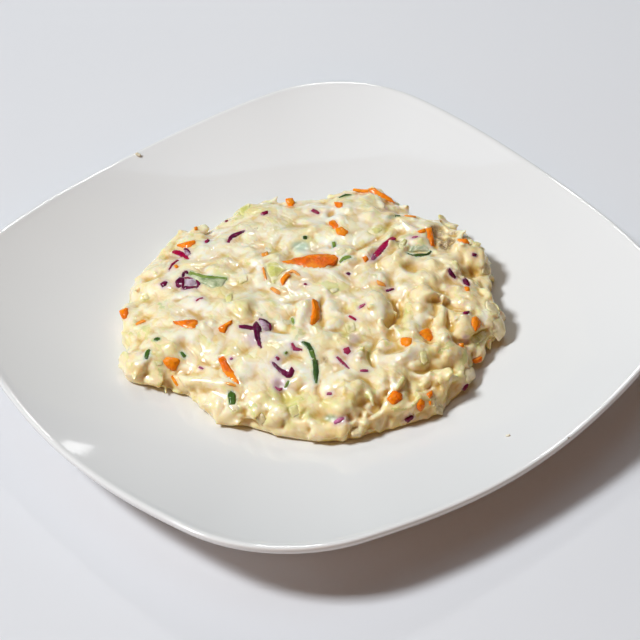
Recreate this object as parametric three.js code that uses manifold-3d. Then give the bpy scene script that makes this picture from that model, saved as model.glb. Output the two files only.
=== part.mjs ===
// Coleslaw heaped on a soft-square dinner plate.
// Millimetres, +Z up. The origin is on the table under the middle of the plate, and the
// plate's sides run along X and Y.
import * as THREE from 'three';
import { mergeVertices } from 'three/addons/utils/BufferGeometryUtils.js';
import Module from 'manifold-3d';

// ---- plate: a shallow dish with four bowed sides and round corners ----
const HALF_SIDE = 130;          // middle of the plate to the middle of a side
const SIDE_ARC = 284;           // radius of a bowed side
const CORNER_ARC = 66.5;        // radius of a round corner
const RIM_HEIGHT = 24;          // top of the rim at the middle of a side
const CORNER_LIFT = 5;          // how much higher the rim is at a corner
const DISH_FLOOR = 7.5;         // height of the dish's floor
const FLAT_SHARE = 0.15;        // share of the way out over which the floor is flat
const DISH_POWER = 2.3;         // how late the dish turns up towards the rim
const WALL = 4.6;               // thickness of the wall under the dish
const RIM_EDGE = 4;             // height of the edge band at the rim
const EDGE_ROUND = 1.1;         // rounding of the edge band
const FOOT_REACH = 0.62;        // middle of the foot ring, as a share of the way out
const FOOT_WIDTH = 5;
const FOOT_RECESS = 2.4;        // height of the underside inside the foot ring
const PLATE_SECTORS = 72;

// ---- heap: a low mound with an uneven outline ----
const HEAP_X = -2;
const HEAP_Y = 2;
const HEAP_RADIUS = 69.5;       // outline without its lobes
const HEAP_LOBES = [            // direction in degrees, reach, half width in degrees
  [-168, 7.5, 7],
  [-145, 10, 18],
  [-117, 10.5, 13.5],
  [-103, 13.5, 6.5],
  [-71, 4.5, 6],
  [-30.5, 6, 21],
  [-0.5, 7.5, 13.5],
  [13, 3.5, 10],
  [42, 9, 9],
  [76, 9, 18],
  [91.5, 4.5, 6],
  [122, 12.5, 13],
  [162, 6, 15.5],
];
const CROWN = 20;               // thickness in the middle
const DOME = 0.25;              // share of the thickness lost on the way out
const SHOULDER = 5;             // how square the edge of the mound is
const STEEP_SHOULDER = 13;      // how much squarer it is where the edge stands steepest
const STEEP_DIRECTION = 38;     // in degrees
const STEEP_HALF_WIDTH = 60;    // in degrees
const CORE_REACH = 0.98;        // the bare core stops short of the outline
const CORE_DROP = 1.0;          // and lies lower than the finished top
const SEAT_GAP = 0.6;           // clear of the dish
const CORE_SECTORS = 64;
const FOLDS = [                 // x, y, length, width, depth, direction in degrees
  [29, 20, 20, 7, 4.0, -34],
  [46, 35, 18, 6, 4.0, -36],
  [35, 41, 11, 5, 2.5, 34],
  [64, 16, 17, 6, 4.0, 57],
  [66, -1, 10, 6, 3.5, 140],
  [73, 4, 12, 8, 3.0, -15],
  [8, -18, 8, 5, 2.5, 30],
  [36, -42, 8, 5, 3.0, 50],
  [35, -57, 10, 5, 3.0, 110],
  [45, -47, 8, 6, 3.0, -35],
  [40, -2, 12, 4, 2.5, -35],
  [15, 41, 8, 6, 2.5, 50],
  [31, 49, 7, 6, 3.0, 55],
  [30, 62, 12, 7, 3.0, 40],
  [5, 67, 12, 5, 2.5, -15],
  [63, -24, 10, 5, 3.0, -40],
];
const LUMPS = 34;               // rounded swellings spread over the core
const LUMP_RADIUS = [6, 11];
const LUMP_HEIGHT = [0.8, 2.2];

// ---- what is mixed into the heap ----
const SEED = 24;
const TOP_PIECES = 86;          // cut cabbage over the top
const EDGE_PIECES = 36;         // cut cabbage that makes the edge ragged
const SHRED_LENGTH = [20, 8];   // longest to shortest
const SHRED_WIDTH = [3, 6.5];
const SHRED_THICKNESS = [1.7, 2.9];
const TILT = 0.38;              // radians that a piece may stand off the surface
const SUNK_SHARE = 0.3;         // share of a piece's thickness below the core's surface

// Pieces that lie in plain sight: x, y, length, width, thickness, direction in degrees,
// and how far the piece bends along its length, in degrees.
const STRIPS = {
  carrotSliver: [-18, 13, 24, 7.5, 2.6, 55, 6],
  carrotWedge: [-64, -15, 9, 5, 2.6, 32, 0],
  carrotPoint: [-22, -49, 11, 5, 2.6, 38, 0],
  carrotCurl: [10, -51, 16, 3.4, 2.6, -14, 40],
  carrotFlat: [9, -7, 13, 3.8, 2.4, -36, 10],
  carrotAtBack: [-40, 68, 12, 3.2, 2.2, 32, 20],
  carrotHook: [2, 61, 9, 2.8, 2.2, -30, 30],
  carrotAtSide: [10, 72, 7, 3.6, 2.4, 56, 0],
  carrotTriangle: [48, 20, 8, 5, 2.8, 30, 0],
  carrotOval: [53, 42, 6, 4.6, 2.6, -42, 0],
  carrotBead: [73, -4, 5, 3.6, 2.8, 108, 0],
  carrotAtEdge: [67, 30, 5, 2.6, 2.2, 80, 0],
  carrotTail: [-51, -58, 6, 4, 2.6, -35, 0],
  redSliver: [-5, 43, 12, 2.8, 2.2, 109, 8],
  redKnot: [-42, -33, 11, 6, 3, 44, 30],
  redStalk: [4, -31, 13, 3, 3, -34, 20],
  redWing: [1, -26, 7, 4.5, 2, 0, 30],
  redCrescent: [25, -37, 10, 5, 3, 12, 50],
  cucumberArc: [-38, -25, 16, 5.5, 2.4, 28, 50],
  cucumberRind: [6, 52, 10.5, 6, 3, 60, 30],
  leafSliverHigh: [23, -22, 6, 3, 2, 3, 0],
  leafSliverLow: [35, -28, 9, 2.4, 2.6, -37, 15],
  ribTongue: [-12, -28, 15, 9, 3, 73, 60],
};
const DICE = {                  // x, y, side, direction in degrees
  diceLeft: [-9, -65, 6.2, 46],
  diceRight: [64, -11, 6.4, 88],
  diceMiddle: [47, 10, 4.8, 55],
  diceBack: [-59, 34, 4.6, 20],
  diceHigh: [-27, 35, 5, 10],
};

const FULL_TURN = 2 * Math.PI;
const RADIAN = Math.PI / 180;

function seededRandom(seed) {
  let state = seed;
  return () => {
    state = (state + 0x6d2b79f5) | 0;
    let mixed = Math.imul(state ^ (state >>> 15), 1 | state);
    mixed = (mixed + Math.imul(mixed ^ (mixed >>> 7), 61 | mixed)) ^ mixed;
    return ((mixed ^ (mixed >>> 14)) >>> 0) / 4294967296;
  };
}

// Reach of the plate's outline in one direction: a side arc, and past the point where
// the two arcs touch, a corner arc.
function plateReach(angle) {
  const quarter = FULL_TURN / 4;
  const turned = (((angle + quarter / 2) % quarter) + quarter) % quarter;
  const offSide = Math.abs(turned - quarter / 2);
  const sideCentre = HALF_SIDE - SIDE_ARC;
  const apart = SIDE_ARC - CORNER_ARC;
  const cornerCentre = (sideCentre + Math.sqrt(2 * apart ** 2 - sideCentre ** 2)) / 2;
  const join = Math.atan2(cornerCentre, cornerCentre - sideCentre);
  const joinX = sideCentre + SIDE_ARC * Math.cos(join);
  const joinY = SIDE_ARC * Math.sin(join);
  const cos = Math.cos(offSide);
  const sin = Math.sin(offSide);
  if (offSide < Math.atan2(joinY, joinX)) {
    return sideCentre * cos + Math.sqrt(SIDE_ARC ** 2 - (sideCentre * sin) ** 2);
  }
  const along = cornerCentre * (cos + sin);
  return along + Math.sqrt(CORNER_ARC ** 2 - 2 * cornerCentre ** 2 + along ** 2);
}

function rimTop(angle) {
  return RIM_HEIGHT + CORNER_LIFT * Math.sin(2 * angle) ** 2;
}

// Height of the dish at a share of the way from the middle to the outline.
function dishHeight(share, angle) {
  const climb = Math.max(0, (share - FLAT_SHARE) / (1 - FLAT_SHARE));
  return DISH_FLOOR + (rimTop(angle) - DISH_FLOOR) * climb ** DISH_POWER;
}

function dishAt(x, y) {
  const angle = Math.atan2(y, x);
  return dishHeight(Math.hypot(x, y) / plateReach(angle), angle);
}

// Joins rings of equal length into a closed shell with a point at each end.
function shellOfRings(firstPoint, rings, lastPoint) {
  const sectors = rings[0].length;
  const positions = [firstPoint, ...rings.flat(), lastPoint].flat();
  const last = 1 + rings.length * sectors;
  const index = [];
  const at = (ring, sector) => 1 + ring * sectors + (sector % sectors);
  for (let sector = 0; sector < sectors; sector += 1) {
    index.push(0, at(0, sector), at(0, sector + 1));
    for (let ring = 0; ring + 1 < rings.length; ring += 1) {
      const [a, b] = [at(ring, sector), at(ring, sector + 1)];
      const [c, d] = [at(ring + 1, sector), at(ring + 1, sector + 1)];
      index.push(a, c, d, a, d, b);
    }
    index.push(last, at(rings.length - 1, sector + 1), at(rings.length - 1, sector));
  }
  const geometry = new THREE.BufferGeometry();
  geometry.setAttribute('position', new THREE.Float32BufferAttribute(positions, 3));
  geometry.setIndex(index);
  return geometry;
}

// The plate's rings, from the middle of the dish over the rim to the middle of the
// underside. Each entry gives a share of the way out, a distance further in, and a height.
function plateGeometry() {
  const underside = (share, angle) => dishHeight(share, angle) - WALL;
  const footIn = -FOOT_WIDTH / 2;
  const footOut = FOOT_WIDTH / 2;
  const dish = [0.15, 0.3, 0.42, 0.53, 0.64, 0.75, 0.85, 0.93].map((share) => ({
    share,
    shift: 0,
    height: (angle) => dishHeight(share, angle),
  }));
  const edge = [
    { share: 1, shift: -1.7 * EDGE_ROUND, height: (angle) => rimTop(angle) - 0.15 * EDGE_ROUND },
    { share: 1, shift: -0.7 * EDGE_ROUND, height: (angle) => rimTop(angle) },
    { share: 1, shift: 0, height: (angle) => rimTop(angle) - 0.8 * EDGE_ROUND },
    { share: 1, shift: -0.1, height: (angle) => rimTop(angle) - RIM_EDGE + EDGE_ROUND },
    { share: 1, shift: -EDGE_ROUND, height: (angle) => rimTop(angle) - RIM_EDGE },
  ];
  const under = [0.93, 0.85, 0.75].map((share) => ({
    share,
    shift: 0,
    height: (angle) => underside(share, angle),
  }));
  const foot = [
    { share: FOOT_REACH, shift: 2 * footOut, height: (angle) => underside(FOOT_REACH, angle) },
    { share: FOOT_REACH, shift: footOut, height: () => 0 },
    { share: FOOT_REACH, shift: footIn, height: () => 0 },
    { share: FOOT_REACH, shift: 1.6 * footIn, height: () => FOOT_RECESS },
  ];
  const rings = [...dish, ...edge, ...under, ...foot].map(({ share, shift, height }) => {
    const ring = [];
    for (let sector = 0; sector < PLATE_SECTORS; sector += 1) {
      const angle = (sector / PLATE_SECTORS) * FULL_TURN;
      const reach = plateReach(angle) * share + shift;
      ring.push([reach * Math.cos(angle), reach * Math.sin(angle), height(angle)]);
    }
    return ring;
  });
  return shellOfRings([0, 0, DISH_FLOOR], rings, [0, 0, FOOT_RECESS]);
}

// Reach of the heap's outline from its own middle.
function heapReach(angle) {
  let reach = HEAP_RADIUS;
  for (const [direction, height, halfWidth] of HEAP_LOBES) {
    const off = THREE.MathUtils.euclideanModulo(angle / RADIAN - direction + 180, 360) - 180;
    reach += height * Math.exp(-((off / halfWidth) ** 2));
  }
  return reach;
}

// Thickness of the mound at a share of the way out.
function mound(share, angle) {
  const off = THREE.MathUtils.euclideanModulo(angle / RADIAN - STEEP_DIRECTION + 180, 360) - 180;
  const shoulder = SHOULDER + STEEP_SHOULDER * Math.exp(-((off / STEEP_HALF_WIDTH) ** 2));
  const rounded = Math.sqrt(Math.max(0, 1 - Math.min(share, 1) ** shoulder));
  return CROWN * rounded * (1 - DOME * share ** 2);
}

function makeLumps(random) {
  const goldenAngle = Math.PI * (3 - Math.sqrt(5));
  return Array.from({ length: LUMPS }, (_, n) => {
    const distance = HEAP_RADIUS * Math.sqrt((n + 0.5) / LUMPS);
    return {
      x: HEAP_X + distance * Math.cos(n * goldenAngle),
      y: HEAP_Y + distance * Math.sin(n * goldenAngle),
      radius: THREE.MathUtils.lerp(...LUMP_RADIUS, random()),
      height: THREE.MathUtils.lerp(...LUMP_HEIGHT, random()),
    };
  });
}

// Depth of the folds less the height of the lumps, at one place.
function relief(lumps, x, y) {
  let height = 0;
  for (const lump of lumps) {
    const off = Math.hypot(x - lump.x, y - lump.y) / lump.radius;
    height += lump.height * Math.exp(-(off ** 2));
  }
  for (const [foldX, foldY, length, width, depth, direction] of FOLDS) {
    const cos = Math.cos(direction * RADIAN);
    const sin = Math.sin(direction * RADIAN);
    const along = ((x - foldX) * cos + (y - foldY) * sin) / (length / 2);
    const across = ((y - foldY) * cos - (x - foldX) * sin) / (width / 2);
    height -= depth * Math.exp(-(along ** 2) - across ** 2);
  }
  return height;
}

// Height of the bare core's top at one place.
function coreTop(lumps, x, y) {
  const dx = x - HEAP_X;
  const dy = y - HEAP_Y;
  const angle = Math.atan2(dy, dx);
  const share = Math.hypot(dx, dy) / (CORE_REACH * heapReach(angle));
  const thickness = mound(share, angle);
  const fade = Math.min(1, thickness / (CROWN / 2));
  return dishAt(x, y) + thickness + fade * (relief(lumps, x, y) - CORE_DROP);
}

function coreGeometry(lumps) {
  const ringAt = (share, height) => {
    const ring = [];
    for (let sector = 0; sector < CORE_SECTORS; sector += 1) {
      const angle = (sector / CORE_SECTORS) * FULL_TURN;
      const reach = CORE_REACH * heapReach(angle) * share;
      const x = HEAP_X + reach * Math.cos(angle);
      const y = HEAP_Y + reach * Math.sin(angle);
      ring.push([x, y, height(x, y)]);
    }
    return ring;
  };
  const seat = (x, y) => dishAt(x, y) + SEAT_GAP;
  const top = (x, y) => Math.max(coreTop(lumps, x, y), seat(x, y) + SEAT_GAP);
  const topRings = [0.1, 0.2, 0.3, 0.4, 0.5, 0.6, 0.7, 0.8, 0.88, 0.94, 0.98];
  const seatRings = [1, 0.8, 0.6, 0.4, 0.2];
  const rings = [
    ...topRings.map((share) => ringAt(share, top)),
    ...seatRings.map((share) => ringAt(share, seat)),
  ];
  const middle = [HEAP_X, HEAP_Y];
  return shellOfRings([...middle, top(...middle)], rings, [...middle, seat(...middle)]);
}

// Bends a flat piece that runs along X into an arc in its own plane or out of it.
function bend(geometry, degrees, lift) {
  const position = geometry.getAttribute('position');
  geometry.computeBoundingBox();
  const length = geometry.boundingBox.max.x - geometry.boundingBox.min.x;
  const curve = (degrees * RADIAN) / length;
  const point = new THREE.Vector3();
  for (let n = 0; n < position.count; n += 1) {
    point.fromBufferAttribute(position, n);
    const sag = (curve * point.x ** 2) / 2;
    point.y += sag * (1 - lift);
    point.z -= sag * lift;
    position.setXYZ(n, point.x, point.y, point.z);
  }
  return geometry;
}

// A cut strip with narrow ends: a flat bar in a few stretches.
function strip(length, width, thickness, bendDegrees, lift, stretches) {
  const endWidth = 0.55;
  const geometry = new THREE.BoxGeometry(length, width, thickness, stretches, 1, 1);
  const position = geometry.getAttribute('position');
  for (let n = 0; n < position.count; n += 1) {
    const out = Math.abs(position.getX(n)) / (length / 2);
    const narrow = out > 0.9 ? endWidth : 1;
    position.setY(n, position.getY(n) * narrow);
  }
  return bend(geometry, bendDegrees, lift);
}

// A cut piece of leaf: a wavy six-sided flake, both faces split alike.
function flake(length, width, thickness, random) {
  const sides = 6;
  const shape = new THREE.Shape();
  for (let side = 0; side < sides; side += 1) {
    const angle = (side / sides) * FULL_TURN;
    const reach = 0.5 * (0.8 + 0.4 * random());
    const corner = [length * reach * Math.cos(angle), width * reach * Math.sin(angle)];
    shape[side ? 'lineTo' : 'moveTo'](...corner);
  }
  const geometry = new THREE.ExtrudeGeometry(shape, { depth: thickness, bevelEnabled: false });
  geometry.translate(0, 0, -thickness / 2);
  return bend(geometry, 40 + 50 * random(), 1);
}

// Stands a piece on the core: its own Z along the surface's normal, then turned and tilted,
// and lifted where a corner would come too near the dish.
function layOnCore(geometry, lumps, place) {
  const { x, y, direction, tilt, tiltAxis, sink } = place;
  const step = 1.5;
  const slopeX = (coreTop(lumps, x + step, y) - coreTop(lumps, x - step, y)) / (2 * step);
  const slopeY = (coreTop(lumps, x, y + step) - coreTop(lumps, x, y - step)) / (2 * step);
  const normal = new THREE.Vector3(-slopeX, -slopeY, 1).normalize();
  const stand = new THREE.Quaternion().setFromUnitVectors(new THREE.Vector3(0, 0, 1), normal);
  const turn = new THREE.Quaternion().setFromAxisAngle(new THREE.Vector3(0, 0, 1), direction);
  const leanAxis = new THREE.Vector3(Math.cos(tiltAxis), Math.sin(tiltAxis), 0);
  const lean = new THREE.Quaternion().setFromAxisAngle(leanAxis, tilt);
  geometry.applyQuaternion(stand.multiply(lean).multiply(turn));
  const foot = new THREE.Vector3(x, y, coreTop(lumps, x, y)).addScaledVector(normal, -sink);
  geometry.translate(foot.x, foot.y, foot.z);
  const position = geometry.getAttribute('position');
  let lift = 0;
  for (let n = 0; n < position.count; n += 1) {
    const floor = dishAt(position.getX(n), position.getY(n)) + SEAT_GAP;
    lift = Math.max(lift, floor - position.getZ(n));
  }
  return geometry.translate(0, 0, lift);
}

// The cut cabbage: largest first on a golden-angle spiral over the top, then round the edge.
function cabbagePieces(lumps, random) {
  const goldenAngle = Math.PI * (3 - Math.sqrt(5));
  const pieces = [];
  const add = (n, count, share, angle, onEdge) => {
    const reach = CORE_REACH * heapReach(angle) * share;
    const length = THREE.MathUtils.lerp(...SHRED_LENGTH, n / count);
    const width = THREE.MathUtils.lerp(...SHRED_WIDTH, random());
    const thickness = THREE.MathUtils.lerp(...SHRED_THICKNESS, random());
    const isFlake = random() < 0.4;
    const geometry = isFlake
      ? flake(Math.max(length * 0.7, 7), width * 1.5, thickness, random)
      : strip(length, width, thickness, 70 * random(), random(), 2);
    const place = {
      x: HEAP_X + reach * Math.cos(angle),
      y: HEAP_Y + reach * Math.sin(angle),
      direction: onEdge ? angle + (random() - 0.5) * 1.6 : FULL_TURN * random(),
      tilt: TILT * (2 * random() - 1) * (onEdge ? 0.5 : 1),
      tiltAxis: FULL_TURN * random(),
      sink: thickness * (SUNK_SHARE - 0.5),
    };
    pieces.push(layOnCore(geometry, lumps, place));
  };
  for (let n = 0; n < TOP_PIECES; n += 1) {
    const share = 0.96 * Math.sqrt((n + 0.5) / TOP_PIECES);
    add((n * 37) % TOP_PIECES, TOP_PIECES, share, n * goldenAngle, false);
  }
  for (let n = 0; n < EDGE_PIECES; n += 1) {
    const angle = ((n + 0.6 * random()) / EDGE_PIECES) * FULL_TURN;
    add(EDGE_PIECES / 2 + n / 2, EDGE_PIECES, 0.95 + 0.03 * random(), angle, true);
  }
  return pieces;
}

function namedPieces(lumps) {
  const pieces = [];
  for (const [x, y, length, width, thickness, degrees, bendDegrees] of Object.values(STRIPS)) {
    const place = { x, y, direction: degrees * RADIAN, tilt: 0, tiltAxis: 0, sink: -0.4 };
    pieces.push(layOnCore(strip(length, width, thickness, bendDegrees, 0.3, 3), lumps, place));
  }
  for (const [x, y, side, degrees] of Object.values(DICE)) {
    const place = { x, y, direction: degrees * RADIAN, tilt: 0.3, tiltAxis: degrees, sink: 0 };
    pieces.push(layOnCore(new THREE.BoxGeometry(side, side * 0.9, side * 0.8), lumps, place));
  }
  return pieces;
}

const wasm = await Module();
wasm.setup();

function toSolid(geometry) {
  const bare = geometry.clone();
  bare.deleteAttribute('normal');
  bare.deleteAttribute('uv');
  const merged = mergeVertices(bare, 1e-4);
  return new wasm.Manifold(new wasm.Mesh({
    numProp: 3,
    vertProperties: merged.getAttribute('position').array,
    triVerts: new Uint32Array(merged.getIndex().array),
  }));
}

function toGeometry(solid) {
  const mesh = solid.getMesh();
  const geometry = new THREE.BufferGeometry();
  geometry.setAttribute('position', new THREE.BufferAttribute(mesh.vertProperties, 3));
  geometry.setIndex(new THREE.BufferAttribute(mesh.triVerts, 1));
  return geometry;
}

// Fuses the pieces to the core, and keeps the outer shell of the heap alone: gaps shut in
// between pieces are filled and loose scraps are dropped.
function heapGeometry() {
  const random = seededRandom(SEED);
  const lumps = makeLumps(random);
  const pieces = [...cabbagePieces(lumps, random), ...namedPieces(lumps)];
  let heap = toSolid(coreGeometry(lumps));
  for (const piece of pieces) {
    heap = heap.add(toSolid(piece));
  }
  const shells = heap.decompose().sort((a, b) => b.volume() - a.volume());
  return toGeometry(shells[0]);
}

const glaze = new THREE.MeshStandardMaterial({ color: 0xeeeeec, roughness: 0.12, metalness: 0 });
const dressing = new THREE.MeshStandardMaterial({ color: 0xeadfbf, roughness: 0.35, metalness: 0 });

const plate = new THREE.Mesh(plateGeometry(), glaze);
plate.name = 'plate';

const coleslaw = new THREE.Mesh(heapGeometry(), dressing);
coleslaw.name = 'coleslaw';

const platedColeslaw = new THREE.Group();
platedColeslaw.add(plate, coleslaw);

export default platedColeslaw;
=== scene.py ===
"""Coleslaw heaped on a soft-square dinner plate: the looks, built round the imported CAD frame."""

import math

import bmesh
import bpy
import numpy as np
from mathutils import Matrix, Vector
from mathutils.bvhtree import BVHTree
from mathutils.kdtree import KDTree


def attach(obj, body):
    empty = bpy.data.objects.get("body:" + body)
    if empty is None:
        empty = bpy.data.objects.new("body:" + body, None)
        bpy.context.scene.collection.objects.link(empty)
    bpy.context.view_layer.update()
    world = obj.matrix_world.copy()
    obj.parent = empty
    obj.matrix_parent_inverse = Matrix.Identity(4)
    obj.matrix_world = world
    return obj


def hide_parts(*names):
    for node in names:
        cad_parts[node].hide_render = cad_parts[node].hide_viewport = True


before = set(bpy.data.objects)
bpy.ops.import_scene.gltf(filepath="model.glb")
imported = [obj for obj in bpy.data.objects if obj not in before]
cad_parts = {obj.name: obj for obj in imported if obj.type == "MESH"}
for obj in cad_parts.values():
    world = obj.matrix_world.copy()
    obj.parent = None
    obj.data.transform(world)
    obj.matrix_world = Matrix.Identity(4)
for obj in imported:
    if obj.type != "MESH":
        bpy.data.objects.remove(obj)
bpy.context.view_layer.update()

MM = 0.001
FULL_TURN = 2 * math.pi
GOLDEN_ANGLE = math.pi * (3 - math.sqrt(5))

# ---- plate, in mm, as in the CAD ----
HALF_SIDE = 130.0
SIDE_ARC = 284.0
CORNER_ARC = 66.5
RIM_HEIGHT = 24.0
CORNER_LIFT = 5.0
DISH_FLOOR = 7.5
FLAT_SHARE = 0.15
DISH_POWER = 2.3
WALL = 4.6
FOOT_REACH = 0.62
FOOT_WIDTH = 5.0
FOOT_RECESS = 2.4
PLATE_SECTORS = 360

# ---- heap, in mm, as in the CAD ----
HEAP_X, HEAP_Y = -2.0, 2.0
HEAP_RADIUS = 69.5
HEAP_LOBES = [  # direction in degrees, reach, half width in degrees
    (-168, 7.5, 7), (-145, 10, 18), (-117, 10.5, 13.5), (-103, 13.5, 6.5), (-71, 4.5, 6),
    (-30.5, 6, 21), (-0.5, 7.5, 13.5), (13, 3.5, 10), (42, 9, 9), (76, 9, 18), (91.5, 4.5, 6),
    (122, 12.5, 13), (162, 6, 15.5),
]
CROWN = 20.0
DOME = 0.25
SHOULDER = 5
STEEP_SHOULDER, STEEP_DIRECTION, STEEP_HALF_WIDTH = 13, 38, 60
FOLDS = [  # x, y, length, width, depth, direction in degrees
    (29, 20, 20, 7, 4.0, -34), (46, 35, 18, 6, 4.0, -36), (35, 41, 11, 5, 2.5, 34),
    (64, 16, 17, 6, 4.0, 57), (66, -1, 10, 6, 3.5, 140), (73, 4, 12, 8, 3.0, -15),
    (8, -18, 8, 5, 2.5, 30), (36, -42, 8, 5, 3.0, 50), (35, -57, 10, 5, 3.0, 110),
    (45, -47, 8, 6, 3.0, -35), (40, -2, 12, 4, 2.5, -35), (15, 41, 8, 6, 2.5, 50),
    (31, 49, 7, 6, 3.0, 55), (30, 62, 12, 7, 3.0, 40), (5, 67, 12, 5, 2.5, -15),
    (63, -24, 10, 5, 3.0, -40),
]
LUMPS = 34
LUMP_RADIUS = (6, 11)
LUMP_HEIGHT = (0.8, 2.2)
SEAT_GAP = 0.3

# ---- dressing: where it has run thin, in mm to the camera's right of the plate's middle ----
DRY_FROM, WET_FADE = 50, 55
NEAR_SHARE = 0.35  # how much a step towards the camera counts as one to its right
FILM_FURTHER = 18  # how much further along X the white film reaches than the smooth dressing

# ---- camera: solved from the plate's outline ----
FRAME_PX = 640
HEAP_PX = (314, 318)
FOCAL_PX = 2665.6
SENSOR_MM = 36.0
CAMERA_DISTANCE = 1124.3
ELEVATION = math.radians(41.384)
AZIMUTH = math.radians(52.427)
ROLL = math.radians(2.477)
AIM_RIGHT, AIM_FORWARD = 2.5, 14.45
RIGHTWARD = np.array([math.cos(AZIMUTH), math.sin(AZIMUTH), 0.0])
AWAY = np.array([-math.sin(AZIMUTH), math.cos(AZIMUTH), 0.0])


# ---- plate and heap as formulas, as in the CAD ----

def plate_reach(angle):
    """Reach of the plate's outline: a side arc, and past the point where the arcs touch, a corner arc."""
    quarter = FULL_TURN / 4
    off_side = np.abs((np.asarray(angle, float) + quarter / 2) % quarter - quarter / 2)
    side_centre = HALF_SIDE - SIDE_ARC
    apart = SIDE_ARC - CORNER_ARC
    corner = (side_centre + math.sqrt(2 * apart**2 - side_centre**2)) / 2
    join = math.atan2(corner, corner - side_centre)
    join_angle = math.atan2(SIDE_ARC * math.sin(join), side_centre + SIDE_ARC * math.cos(join))
    cos, sin = np.cos(off_side), np.sin(off_side)
    side = side_centre * cos + np.sqrt(SIDE_ARC**2 - (side_centre * sin) ** 2)
    along = corner * (cos + sin)
    round_corner = along + np.sqrt(np.maximum(CORNER_ARC**2 - 2 * corner**2 + along**2, 0))
    return np.where(off_side < join_angle, side, round_corner)


def rim_top(angle):
    """Height of the rim, which rises towards the corners."""
    return RIM_HEIGHT + CORNER_LIFT * np.sin(2 * angle) ** 2


def dish_height(share, angle):
    """Height of the dish at a share of the way out."""
    climb = np.maximum(0, (share - FLAT_SHARE) / (1 - FLAT_SHARE))
    return DISH_FLOOR + (rim_top(angle) - DISH_FLOOR) * climb**DISH_POWER


def dish_at(x, y):
    """Height of the dish at a place."""
    angle = np.arctan2(y, x)
    return dish_height(np.hypot(x, y) / plate_reach(angle), angle)


def degrees_off(angle, direction):
    """How far an angle in radians lies from a direction in degrees, from -180 to 180 degrees."""
    return (np.degrees(angle) - direction + 180) % 360 - 180


def heap_reach(angle):
    """Reach of the heap's outline: a circle with rounded lobes."""
    reach = np.full_like(np.asarray(angle, float), HEAP_RADIUS)
    for direction, height, half_width in HEAP_LOBES:
        reach = reach + height * np.exp(-((degrees_off(angle, direction) / half_width) ** 2))
    return reach


def heap_share(x, y):
    """0 at the heap's middle and 1 at its outline."""
    dx, dy = x - HEAP_X, y - HEAP_Y
    return np.hypot(dx, dy) / heap_reach(np.arctan2(dy, dx))


def mound(share, angle):
    """Thickness of the heap without lumps and folds."""
    steep = np.exp(-((degrees_off(angle, STEEP_DIRECTION) / STEEP_HALF_WIDTH) ** 2))
    rounded = np.sqrt(np.maximum(0, 1 - np.minimum(share, 1) ** (SHOULDER + STEEP_SHOULDER * steep)))
    return CROWN * rounded * (1 - DOME * share**2)


def make_lumps(rng):
    """Low round lumps spread evenly over the heap: place, radius and height."""
    lumps = []
    for n in range(LUMPS):
        distance = HEAP_RADIUS * math.sqrt((n + 0.5) / LUMPS)
        x = HEAP_X + distance * math.cos(n * GOLDEN_ANGLE)
        y = HEAP_Y + distance * math.sin(n * GOLDEN_ANGLE)
        lumps.append((x, y, rng.uniform(*LUMP_RADIUS), rng.uniform(*LUMP_HEIGHT)))
    return lumps


def in_ellipse(x, y, middle_x, middle_y, length, width, turn):
    """Where places lie in an ellipse turned from X towards Y, as shares of its half length and half width."""
    cos, sin = math.cos(math.radians(turn)), math.sin(math.radians(turn))
    along = ((x - middle_x) * cos + (y - middle_y) * sin) / (length / 2)
    across = ((y - middle_y) * cos - (x - middle_x) * sin) / (width / 2)
    return along, across


def relief(lumps, x, y):
    """Height of the lumps less the depth of the folds."""
    height = np.zeros_like(np.asarray(x, float))
    for lump_x, lump_y, radius, rise in lumps:
        height = height + rise * np.exp(-((x - lump_x) ** 2 + (y - lump_y) ** 2) / radius**2)
    for fold_x, fold_y, length, width, depth, direction in FOLDS:
        along, across = in_ellipse(x, y, fold_x, fold_y, length, width, direction)
        height = height - depth * np.exp(-(along**2) - across**2)
    return height


def heap_top(lumps, x, y, drop=0.0, reach=1.0):
    """Height of the heap's top, which may be dropped and drawn in."""
    thickness = mound(heap_share(x, y) / reach, np.arctan2(y - HEAP_Y, x - HEAP_X))
    fade = np.minimum(1, thickness / (CROWN / 2))
    return dish_at(x, y) + thickness + fade * (relief(lumps, x, y) - drop)


def wetness(x, y):
    """1 where the dressing stands thick, to the camera's left, and 0 where it has run off, to the right."""
    right = x * math.cos(AZIMUTH) + y * math.sin(AZIMUTH)
    near = x * math.sin(AZIMUTH) - y * math.cos(AZIMUTH)
    share = np.clip((DRY_FROM - right - NEAR_SHARE * near) / WET_FADE, 0, 1)
    return share * share * (3 - 2 * share)


# ---- mesh helpers ----

def add_object(name, data):
    obj = bpy.data.objects.new(name, data)
    bpy.context.scene.collection.objects.link(obj)
    return obj


def mesh_object(name, vertices, faces, smooth=True):
    """A mesh object from vertices in mm."""
    mesh = bpy.data.meshes.new(name)
    mesh.from_pydata((np.asarray(vertices) * MM).tolist(), [], faces)
    mesh.update()
    if smooth:
        mesh.polygons.foreach_set("use_smooth", [True] * len(mesh.polygons))
    return add_object(name, mesh)


def ring_faces(ring_count, sectors):
    """Faces of a closed shell: a point, rings of equal length and a point."""
    at = lambda ring, sector: 1 + ring * sectors + sector % sectors
    end = 1 + ring_count * sectors
    faces = []
    for sector in range(sectors):
        faces.append((0, at(0, sector), at(0, sector + 1)))
        for ring in range(ring_count - 1):
            near, far = (ring, sector), (ring + 1, sector)
            corners = near, far, (ring + 1, sector + 1), (ring, sector + 1)
            faces.append(tuple(at(*corner) for corner in corners))
        faces.append((end, at(ring_count - 1, sector + 1), at(ring_count - 1, sector)))
    return faces


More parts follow.
